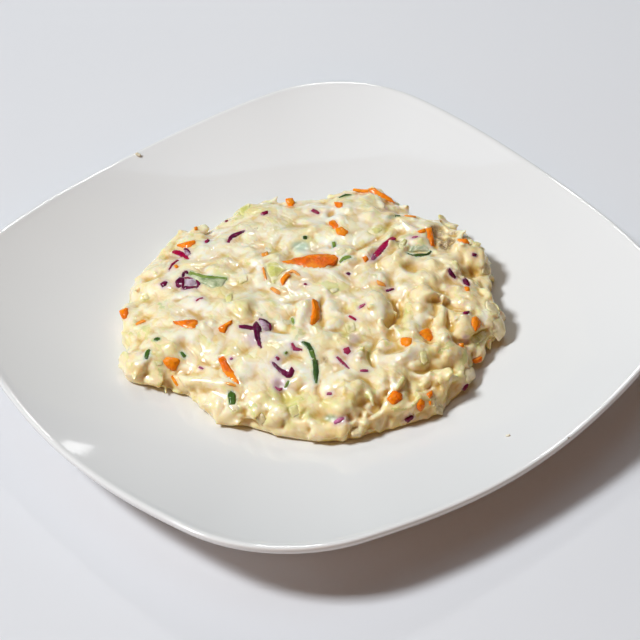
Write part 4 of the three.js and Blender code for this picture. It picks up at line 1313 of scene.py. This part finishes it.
STAINS = [  # attribute, pieces it lies round, reach in mm, veils, strength, colour
    ("stain_carrot", "carrot_pieces", 1.6, CARROT_VEILS, 0.5, (0.88, 0.42, 0.12)),
    ("stain_red", "red_cabbage_pieces", 2.0, RED_VEILS, 0.5, (0.66, 0.36, 0.42)),
    ("stain_green", "leaf_pieces", 1.6, LEAF_VEILS, 0.6, (0.70, 0.68, 0.18)),
    ("stain_teal", "green_pieces", 1.2, TEAL_VEILS, 0.8, (0.36, 0.56, 0.42)),
    ("stain_lilac", "red_cabbage_pieces", 0.8, LILAC_VEILS, 0.65, (0.60, 0.47, 0.58)),
]


def proud_step(n):
    """Neighbours stand out by different amounts, so that none lie in one plane."""
    return PROUD_STEP * (n % 3)


def build_kind(surface, name, slabs, ribbons, proud, dome, rng):
    """All pieces of one colour as one object."""
    pile = Pile()
    for n, (outline, thickness, tint) in enumerate(slabs):
        points, faces, edges = slab(surface, outline, thickness, proud + proud_step(n), rng, dome)
        pile.add(points, faces, tint=tint, edge=edges)
    for n, (path, widths, thickness, tint) in enumerate(ribbons):
        height = proud + RIBBON_PROUD + proud_step(n)
        points, faces, edges = ribbon(surface, path, widths, thickness, height, rng)
        pile.add(points, faces, tint=tint, edge=edges)
    obj = pile.build(name)
    obj.data.set_sharp_from_angle(angle=SHARP_FROM)
    return obj


def build_crumbs(plate, rng):
    """Small crumbs that lie on the plate, each a dented pebble resting on the glaze."""
    tree = BVHTree.FromPolygons(vertices_of(plate).tolist(), polygons_of(plate))
    pile = Pile()
    for px, py, length, tint in CRUMBS:
        origin, direction = sight_line(px, py)
        place, normal, _, _ = tree.ray_cast(Vector(origin), Vector(direction))
        width, thickness = CRUMB_WIDTH * length, CRUMB_THICKNESS * length
        points, faces = cut_piece(length, width, thickness, *CRUMB_SHAPE, rng)
        place = np.array(place) + np.array(normal) * CRUMB_LIFT * length
        points = stand(points, place, camera_axes()[1] + rng.normal(0, CRUMB_SPREAD, 3), normal)
        pile.add(points, faces, tint=tint, edge=0.0, near=0.0)
    return pile.build("crumbs")


# ---- materials ----

def new_material(name):
    material = bpy.data.materials.new(name)
    material.use_nodes = True
    tree = material.node_tree
    tree.nodes.clear()
    shader = tree.nodes.new("ShaderNodeBsdfPrincipled")
    output = tree.nodes.new("ShaderNodeOutputMaterial")
    tree.links.new(shader.outputs[0], output.inputs[0])
    return material, tree, shader


def noise(tree, scale, detail=3.0, roughness=0.55, distortion=0.0):
    node = tree.nodes.new("ShaderNodeTexNoise")
    coordinate = tree.nodes.new("ShaderNodeTexCoord")
    tree.links.new(coordinate.outputs["Object"], node.inputs["Vector"])
    node.inputs["Scale"].default_value = scale
    node.inputs["Detail"].default_value = detail
    node.inputs["Roughness"].default_value = roughness
    node.inputs["Distortion"].default_value = distortion
    return node.outputs["Fac"]


def ramp(tree, fac, *stops):
    node = tree.nodes.new("ShaderNodeValToRGB")
    elements = node.color_ramp.elements
    while len(elements) < len(stops):
        elements.new(0.5)
    for element, (position, colour) in zip(elements, stops):
        element.position = position
        element.color = (*colour, 1.0) if len(colour) == 3 else colour
    tree.links.new(fac, node.inputs["Fac"])
    return node.outputs["Color"]


def grey(value):
    return (value, value, value)


def grey_noise(tree, settings, *stops):
    """Noise that runs from one grey to another, with stops of a noise value and a grey."""
    return ramp(tree, noise(tree, *settings), *((position, grey(value)) for position, value in stops))


def mix(tree, fac, a, b, blend="MIX"):
    node = tree.nodes.new("ShaderNodeMix")
    node.data_type = "RGBA"
    node.blend_type = blend
    for socket, value in ((node.inputs["Factor"], fac), (node.inputs["A"], a), (node.inputs["B"], b)):
        if isinstance(value, (int, float)):
            socket.default_value = value
        elif isinstance(value, tuple):
            socket.default_value = (*value, 1.0)
        else:
            tree.links.new(value, socket)
    return node.outputs["Result"]


def math_node(tree, operation, a, b):
    node = tree.nodes.new("ShaderNodeMath")
    node.operation = operation
    node.use_clamp = True
    for socket, value in zip(node.inputs, (a, b)):
        if isinstance(value, (int, float)):
            socket.default_value = value
        else:
            tree.links.new(value, socket)
    return node.outputs[0]


def times(tree, a, b):
    return math_node(tree, "MULTIPLY", a, b)


def plus(tree, a, b):
    return math_node(tree, "ADD", a, b)


def attribute(tree, name):
    node = tree.nodes.new("ShaderNodeAttribute")
    node.attribute_name = name
    return node.outputs["Fac"]


def bump(tree, shader, height, strength, distance, socket="Normal"):
    node = tree.nodes.new("ShaderNodeBump")
    node.inputs["Strength"].default_value = strength
    node.inputs["Distance"].default_value = distance
    tree.links.new(height, node.inputs["Height"])
    tree.links.new(node.outputs["Normal"], shader.inputs[socket])


CREAM = (0.98, 0.85, 0.56)
CREAM_LIGHT = (0.99, 0.92, 0.77)
FILM = (0.99, 0.95, 0.88)
# Painted shade colour, for hollows and flake edges.
PAINTED_SHADE_CREAM = (0.62, 0.37, 0.06)
# Painted shade colour for walls turned from the key light.
PAINTED_WALL_SHADE = (0.72, 0.53, 0.09)
STRAW = (0.93, 0.74, 0.34)
LEAF_PALE = (0.76, 0.74, 0.26)
LEAF_GREEN = (0.52, 0.58, 0.20)
# Gold of the thin dressing on the right, partly painted shade.
DRY_SIDE_GOLD_AND_SHADE = (0.88, 0.68, 0.26)
SKIN_BROWN, SKIN_TAN, SKIN_STRAW = (0.20, 0.12, 0.09), (0.42, 0.29, 0.10), (0.78, 0.66, 0.46)
FLAKE_TONES = (
    (0.0, CREAM_LIGHT), (0.3, CREAM), (0.5, STRAW), (0.66, CREAM_LIGHT), (0.8, LEAF_PALE), (1.0, CREAM))
PIECE_TONES = (
    (0.0, CREAM_LIGHT), (0.35, CREAM), (0.6, STRAW), (0.8, CREAM), (0.9, LEAF_PALE), (1.0, LEAF_GREEN))


def glaze_material():
    """White glaze, a little uneven in tone and gloss."""
    material, tree, shader = new_material("plate_glaze")
    tone = ramp(tree, noise(tree, 9.0, 2.0), (0.3, (0.785, 0.79, 0.785)), (0.7, (0.81, 0.81, 0.80)))
    tree.links.new(tone, shader.inputs["Base Color"])
    smooth = grey_noise(tree, (30.0, 2.0), (0.3, 0.03), (0.75, 0.06))
    tree.links.new(smooth, shader.inputs["Roughness"])
    shader.inputs["IOR"].default_value = 1.5
    bump(tree, shader, noise(tree, 55.0, 1.5), 0.06, 0.0006)
    return material


def flakes(tree, turn, scale):
    """Long random cells, as chopped leaf lies under the dressing: a random tone for each, and how far off its
    edge is."""
    coordinate = tree.nodes.new("ShaderNodeTexCoord")
    warp = tree.nodes.new("ShaderNodeTexNoise")
    tree.links.new(coordinate.outputs["Object"], warp.inputs["Vector"])
    warp.inputs["Scale"].default_value = 130
    shift = tree.nodes.new("ShaderNodeVectorMath")
    shift.operation = "MULTIPLY_ADD"
    tree.links.new(warp.outputs["Color"], shift.inputs[0])
    shift.inputs[1].default_value = (0.006, 0.006, 0.006)
    tree.links.new(coordinate.outputs["Object"], shift.inputs[2])
    turned = tree.nodes.new("ShaderNodeMapping")
    tree.links.new(shift.outputs[0], turned.inputs["Vector"])
    turned.inputs["Rotation"].default_value = (0, 0, math.radians(turn))
    turned.inputs["Scale"].default_value = (1.0, 2.6, 1.2)
    outputs = []
    for feature, output in (("F1", "Color"), ("DISTANCE_TO_EDGE", "Distance")):
        cells = tree.nodes.new("ShaderNodeTexVoronoi")
        cells.feature = feature
        cells.inputs["Scale"].default_value = scale
        tree.links.new(turned.outputs[0], cells.inputs["Vector"])
        outputs.append(cells.outputs[output])
    return outputs


def dressing_colour(tree, film, edge, flake_tone):
    """Cream under a white film where it is thick, cabbage where it is thin, then painted shade in hollows and
    on walls turned from the key light, and stains.
    """
    cream = ramp(tree, noise(tree, 120.0, 4.0, 0.6, 0.4), (0.36, CREAM), (0.64, CREAM_LIGHT))
    thick = times(tree, attribute(tree, "wet"), 0.75)
    base = mix(tree, film, mix(tree, thick, cream, FILM), flake_tone)
    # Gold to the right, where the dressing is thin and turned from the key light: partly cabbage showing
    # through, partly painted shade.
    dry_side_and_shade = times(tree, math_node(tree, "SUBTRACT", 1.0, attribute(tree, "wet")), 0.26)
    base = mix(tree, dry_side_and_shade, base, DRY_SIDE_GOLD_AND_SHADE)
    veil = grey_noise(tree, (180.0, 4.0, 0.6, 0.5), (0.4, 0.8), (0.66, 0.15))
    piece_tone = ramp(tree, attribute(tree, "tint"), *PIECE_TONES)
    base = mix(tree, times(tree, attribute(tree, "flake"), veil), base, piece_tone)
    # Painted shade: steep walls turned from the key light take a dark golden colour, in patches of noise.
    runs = grey_noise(tree, (130.0, 3.0, 0.55, 0.5), (0.40, 1.0), (0.60, 0.45))
    base = mix(tree, times(tree, attribute(tree, "wall"), runs), base, PAINTED_WALL_SHADE)
    # Painted shade: hollows in the skin, and flake edges under the white film, are darkened towards a shade
    # colour.
    crease = ramp(tree, edge, (0.0, grey(1)), (0.10, grey(0)))
    hollow_shade = times(tree, attribute(tree, "cavity"), 0.88)
    hollow_shade = plus(tree, hollow_shade, times(tree, times(tree, crease, film), 0.22))
    base = mix(tree, hollow_shade, base, PAINTED_SHADE_CREAM)
    for name, _, _, _, amount, colour in STAINS:
        base = mix(tree, times(tree, attribute(tree, name), amount), base, colour)
    fibres = ramp(
        tree, noise(tree, 420.0, 4.0, 0.7, 1.2), (0.42, SKIN_BROWN), (0.50, SKIN_TAN), (0.60, SKIN_STRAW))
    return mix(tree, attribute(tree, "stain_skin"), base, fibres)


def dressing_material():
    """Creamy dressing over chopped cabbage, wet and a little see-through."""
    material, tree, shader = new_material("dressed_cabbage")
    tones, edges = zip(flakes(tree, 20, 95.0), flakes(tree, 105, 110.0))
    choice = grey_noise(tree, (75.0, 2.0), (0.48, 0), (0.52, 1))
    flake_tone = mix(tree, choice, ramp(tree, tones[0], *FLAKE_TONES), ramp(tree, tones[1], *FLAKE_TONES))
    edge = mix(tree, choice, edges[0], edges[1])
    uneven = noise(tree, 85.0, 3.5, 0.55, 0.6)
    thin = math_node(tree, "SUBTRACT", uneven, times(tree, attribute(tree, "wet"), -0.08))
    film = ramp(tree, thin, (0.44, grey(0.9)), (0.62, grey(0.08)))
    tree.links.new(dressing_colour(tree, film, edge, flake_tone), shader.inputs["Base Color"])
    gloss = grey_noise(tree, (160.0, 3.0), (0.35, 0.28), (0.7, 0.5))
    tree.links.new(gloss, shader.inputs["Roughness"])
    shader.inputs["Subsurface Weight"].default_value = 0.7
    shader.inputs["Subsurface Radius"].default_value = (1.0, 0.6, 0.25)
    shader.inputs["Subsurface Scale"].default_value = 0.0028
    shader.inputs["Coat Weight"].default_value = 0.85
    shader.inputs["Coat Roughness"].default_value = 0.06
    swell = times(tree, ramp(tree, edge, (0.0, grey(0)), (0.22, grey(1))), film)
    grain = times(tree, noise(tree, 420.0, 4.0, 0.6), 0.35)
    bump(tree, shader, plus(tree, times(tree, swell, 0.4), grain), 0.45, 0.0007)
    beads = plus(tree, noise(tree, 240.0, 3.0, 0.5, 0.4), times(tree, swell, 0.3))
    bump(tree, shader, beads, 0.3, 0.001, "Coat Normal")
    return material


def piece_material(name, colours, film, edge_film, subsurface=0.15, fade=CREAM, light=CREAM_LIGHT, sunk=0.15):
    """A cut vegetable: its tint runs from strong to pale, and dressing lies at its edges, in patches and
    where it sinks in."""
    material, tree, shader = new_material(name)
    own = ramp(tree, attribute(tree, "tint"), *zip(np.linspace(0, 1, len(colours)).tolist(), colours))
    shade = grey_noise(tree, (240.0, 5.0, 0.65, 0.6), (0.34, 0.62), (0.62, 1.0))
    own = mix(tree, 1.0, own, shade, "MULTIPLY")
    core = grey_noise(tree, (170.0, 3.0, 0.6, 0.5), (0.44, 0), (0.60, 0.6))
    own = mix(tree, core, own, light)
    cover = times(tree, grey_noise(tree, (210.0, 4.0, 0.6, 0.8), (0.50, 0), (0.68, 1)), film)
    ragged = grey_noise(tree, (300.0, 3.0, 0.6, 0.6), (0.35, 0.2), (0.62, 1))
    cover = plus(tree, cover, times(tree, times(tree, attribute(tree, "edge"), ragged), edge_film))
    cover = plus(tree, cover, times(tree, attribute(tree, "near"), sunk))
    tree.links.new(mix(tree, cover, own, fade), shader.inputs["Base Color"])
    gloss = grey_noise(tree, (200.0, 3.0), (0.35, 0.15), (0.7, 0.4))
    tree.links.new(gloss, shader.inputs["Roughness"])
    shader.inputs["Subsurface Weight"].default_value = subsurface
    shader.inputs["Subsurface Radius"].default_value = (1.0, 0.5, 0.25)
    shader.inputs["Subsurface Scale"].default_value = 0.001
    shader.inputs["Specular IOR Level"].default_value = 0.1
    shader.inputs["Coat Weight"].default_value = 0.4
    shader.inputs["Coat Roughness"].default_value = 0.06
    waves = plus(tree, noise(tree, 260.0, 2.0), times(tree, noise(tree, 800.0, 3.0, 0.6), 0.3))
    bump(tree, shader, waves, 0.6, 0.0012)
    bump(tree, shader, waves, 0.5, 0.0012, "Coat Normal")
    return material


def cabbage_chip_material():
    colours = (0.88, 0.80, 0.62), (0.86, 0.77, 0.52), (0.84, 0.76, 0.44), (0.74, 0.74, 0.36)
    return piece_material("cabbage_chip", colours, film=0.5, edge_film=0.0, subsurface=0.35)


def cabbage_leaf_material():
    colours = (0.64, 0.66, 0.09), (0.74, 0.73, 0.24), (0.88, 0.76, 0.42)
    return piece_material("cabbage_leaf", colours, film=0.35, edge_film=0.6, subsurface=0.2)


def carrot_material():
    colours = (1.0, 0.17, 0.001), (1.0, 0.27, 0.004), (0.97, 0.52, 0.17)
    fade, light = (0.98, 0.44, 0.06), (1.0, 0.36, 0.01)
    return piece_material("carrot", colours, film=0.08, edge_film=0.25, fade=fade, light=light, sunk=0.06)


def red_cabbage_material():
    dark = (0.06, 0.001, 0.028), (0.15, 0.001, 0.046)
    colours = *dark, (0.44, 0.002, 0.045), (0.55, 0.16, 0.32), (0.66, 0.56, 0.66)
    fade, light = (0.50, 0.16, 0.30), (0.22, 0.004, 0.06)
    return piece_material("red_cabbage", colours, film=0.03, edge_film=0.1, fade=fade, light=light, sunk=0.03)


def green_rind_material():
    colours = (0.013, 0.055, 0.003), (0.045, 0.12, 0.008), (0.30, 0.42, 0.07), (0.86, 0.88, 0.64)
    fade, light = (0.50, 0.56, 0.30), (0.07, 0.16, 0.015)
    return piece_material("green_rind", colours, film=0.05, edge_film=0.15, fade=fade, light=light, sunk=0.03)


def crumb_material():
    colours = (0.97, 0.90, 0.72), (0.62, 0.48, 0.22), (0.10, 0.05, 0.03)
    return piece_material("crumb", colours, film=0.0, edge_film=0.0)


def floor_material():
    """A plain pale table."""
    material, tree, shader = new_material("floor_pale")
    tone = ramp(tree, noise(tree, 3.0, 2.0), (0.3, (0.72, 0.73, 0.755)), (0.7, (0.74, 0.75, 0.775)))
    tree.links.new(tone, shader.inputs["Base Color"])
    shader.inputs["Roughness"].default_value = 0.5
    return material


# ---- what a material reads from the mesh ----

CAVITY_ROUNDS, CAVITY_RELAX, CAVITY_DEPTH = 36, 0.6, 0.42
FILM_FADE = 0.3  # share of the heap's reach over which the white film ends at its edge
FLAKE_RISE = 0.5  # mm over the dressing at which a piece stands clear of it
TINT_EVERY = 2  # every second vertex of the cabbage is enough to find the nearest piece


def mark_near(obj, surface, reach):
    """1 where a vertex is under or at the dressing, 0 where it stands clear by the reach, in mm."""
    near = []
    for point in vertices_of(obj):
        place, normal, _, _ = surface.tree.find_nearest(Vector(point))
        above = (Vector(point) - place).dot(normal)
        near.append(min(1.0, max(0.0, 1 - above / reach)))
    store(obj, "near", near)


def tree_of(points):
    tree = KDTree(len(points))
    for index, point in enumerate(points):
        tree.insert(point, index)
    tree.balance()
    return tree


def mark_stain(body, name, pieces, reach, level, veils):
    """How near each vertex of the body is to a coloured piece, or to one that shows through the dressing."""
    points = vertices_of(body)
    tree = tree_of(vertices_of(pieces))
    values = np.array([max(0.0, 1 - tree.find(point)[2] / reach) for point in points]) ** 1.5
    pixels = to_pixels(points)
    upper = points[:, 2] > sample(level, points[:, 0], points[:, 1]) - 2
    for px, py, half_width, half_height, amount in veils:
        off = ((pixels[:, 0] - px) / half_width) ** 2 + ((pixels[:, 1] - py) / half_height) ** 2
        values = np.maximum(values, amount * np.exp(-(off**2)) * upper)
    store(body, name, values)


def mark_tint(body, cabbage):
    """The tint of the nearest cabbage piece."""
    tints = np.concatenate(cabbage.marks["tint"])[::TINT_EVERY]
    tree = tree_of(np.concatenate(cabbage.points)[::TINT_EVERY])
    store(body, "tint", [tints[tree.find(point)[1]] for point in vertices_of(body)])


def mark_flake(body, level):
    """1 where a piece stands out of the dressing."""
    points = vertices_of(body)
    rise = points[:, 2] - sample(level, points[:, 0], points[:, 1]) + 0.05
    store(body, "flake", np.clip(rise / FLAKE_RISE, 0, 1))


def mark_wet(body):
    """How thick the white film lies: most on top, to the left, and less towards the edge."""
    x, y, _ = vertices_of(body).T
    inward = np.clip((1.0 - heap_share(x, y)) / FILM_FADE, 0, 1)
    store(body, "wet", wetness(x - FILM_FURTHER, y) * inward)


def mark_cavity(body):
    """1 in hollows and 0 on open ground, from how far the smoothed skin lies above each vertex: painted shade
    in hollows. Walls that face the camera and its right, turned from the key light, are marked too, for
    painted shade."""
    points, edges, normals = vertices_of(body), edges_of(body), normals_of(body)
    smooth = points.copy()
    for _ in range(CAVITY_ROUNDS):
        smooth = smooth + CAVITY_RELAX * (neighbour_mean(smooth, edges, len(points)) - smooth)
    sunk = ((smooth - points) * normals).sum(1)
    store(body, "cavity", np.clip(sunk / CAVITY_DEPTH, 0, 1) ** 1.2)
    # The camera's right and the side towards the camera lie away from the key light; steep walls facing them
    # are marked for painted shade.
    shaded = camera_axes()[1] * 0.6 + image_direction(0, -1, 0) * 0.8
    facing = np.clip(0.5 + 0.5 * normals @ shaded, 0, 1) ** 2
    store(body, "wall", np.clip(1 - 1.2 * normals[:, 2], 0, 1) * facing)


# ---- stage ----

FLOOR_HALF, FLOOR_DROP = 1.6, 0.0002  # m
LIGHTS = [  # name, direction as it lies in the picture, distance and size in m, power in W, colour
    ("key", (-0.792, -0.012, 1.0), 5.0, (0.95, 0.95), 249, (0.93, 0.967, 1.0)),
    ("ceiling", (0.0, 0.3, 1.6), 4.0, (3.0, 2.4), 22, (0.745, 0.88, 1.0)),
    ("room_front", (0.0, -1.0, 0.7), 4.0, (3.0, 2.0), 23, (1.0, 0.44, 0.13)),
    ("room_back", (0.2, 1.0, 0.9), 4.0, (3.0, 2.0), 4, (1.0, 0.9, 0.46)),
    ("sheen", (0.0, 0.75, 0.66), 3.0, (0.24, 0.24), 5.8, (1.0, 1.0, 1.0)),
    ("window", (0.115, 0.934, 0.358), 2.0, (0.05, 0.11), 0.075, (1.0, 1.0, 1.0)),
]
WORLD_COLOUR, WORLD_STRENGTH = (1.0, 0.8, 0.65, 1), 0.01
CLIP = 0.05, 20  # m


def build_camera():
    place, right, up, back = camera_axes()
    data = bpy.data.cameras.new("camera")
    data.sensor_width = SENSOR_MM
    data.lens = FOCAL_PX / FRAME_PX * SENSOR_MM
    data.clip_start, data.clip_end = CLIP
    camera = add_object("camera", data)
    matrix = Matrix(np.stack([right, up, back], 1).tolist()).to_4x4()
    matrix.translation = Vector(place * MM)
    camera.matrix_world = matrix
    bpy.context.scene.camera = camera


def image_direction(rightward, away, height):
    """A direction given as it lies in the picture: to the right, away from the camera, and up."""
    return RIGHTWARD * rightward + AWAY * away + np.array([0, 0, height])


def area_light(name, direction, distance, size, power, colour):
    data = bpy.data.lights.new(name, "AREA")
    data.shape = "RECTANGLE"
    data.size, data.size_y = size
    data.energy = power
    data.color = colour
    light = add_object(name, data)
    towards = Vector(image_direction(*direction)).normalized()
    light.location = towards * distance
    light.rotation_euler = towards.to_track_quat("Z", "Y").to_euler()


def build_stage():
    """The floor, the lights and the dim room round them."""
    half = FLOOR_HALF / MM
    corners = [(-half, -half, 0), (half, -half, 0), (half, half, 0), (-half, half, 0)]
    floor = mesh_object("floor", corners, [(0, 1, 2, 3)], smooth=False)
    floor.location.z = -FLOOR_DROP
    floor.data.materials.append(floor_material())
    for light in LIGHTS:
        area_light(*light)
    world = bpy.data.worlds.new("studio")
    bpy.context.scene.world = world
    world.use_nodes = True
    background = world.node_tree.nodes["Background"]
    background.inputs["Color"].default_value = WORLD_COLOUR
    background.inputs["Strength"].default_value = WORLD_STRENGTH
    bpy.context.scene.view_settings.view_transform = "Standard"


# ---- build ----

SEED = 24


def keep(obj, material, node=None):
    """Gives a piece its material, what it rides on and the node that it replaces."""
    obj.data.materials.append(material)
    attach(obj, "root")
    if node:
        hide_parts(node)


def build_body(lumps, cabbage, rng):
    """The dressed heap, and the level of its dressing. The ribs seen in the photo are laid on a rough skin
    first, so that the final skin closes over them."""
    pile, level = dressed_pile(lumps, cabbage, rng)
    rough = skin(pile, ROUGH_VOXEL, ROUGH_ROUNDS)
    surface = Surface(rough)
    for outline, thickness, tint in RIB_SLABS:
        points, faces, _ = slab(surface, outline, thickness, RIB_PROUD, rng, RIB_DOME)
        pile.add(points, faces)
        cabbage.add(points, faces, tint=tint)
    bpy.data.objects.remove(rough)
    body = skin(pile, VOXEL, RELAX_ROUNDS)
    ruffle(body, rng)
    shape_by_view(body, rng)
    relax(body, SETTLE_ROUNDS)
    thin_out(body, BODY_TRIANGLES)
    drop_scraps(body)
    return body, level


def build():
    rng = np.random.default_rng(SEED)
    lumps = make_lumps(rng)
    plate = build_plate()
    keep(plate, glaze_material(), "plate")

    cabbage, shown = scatter_cabbage(lumps, rng)
    scatter_wall(cabbage, lumps, rng)
    body, level = build_body(lumps, cabbage, rng)
    surface = Surface(body)
    pieces = {}
    for name, slabs, ribbons, proud, dome, _ in PIECES:
        pieces[name] = build_kind(surface, name, slabs, ribbons, proud, dome, rng)
    surface.settle()
    surface = Surface(body)
    chips = shown.build("cabbage_pieces")
    for name, _, _, _, _, near in PIECES:
        mark_near(pieces[name], surface, near)
    mark_near(chips, surface, CHIP_NEAR)
    mark_cavity(body)
    mark_wet(body)
    mark_flake(body, level)
    mark_tint(body, cabbage)
    for stain, name, reach, veils, _, _ in STAINS:
        mark_stain(body, stain, pieces[name], reach, level, veils)
    mark_stain(body, "stain_skin", pieces["green_pieces"], 0.1, level, SKIN_VEILS)

    keep(body, dressing_material(), "coleslaw")
    keep(chips, cabbage_chip_material())
    keep(pieces["leaf_pieces"], cabbage_leaf_material())
    keep(pieces["carrot_pieces"], carrot_material())
    keep(pieces["red_cabbage_pieces"], red_cabbage_material())
    keep(pieces["green_pieces"], green_rind_material())
    keep(build_crumbs(plate, rng), crumb_material())


build()
build_stage()
build_camera()
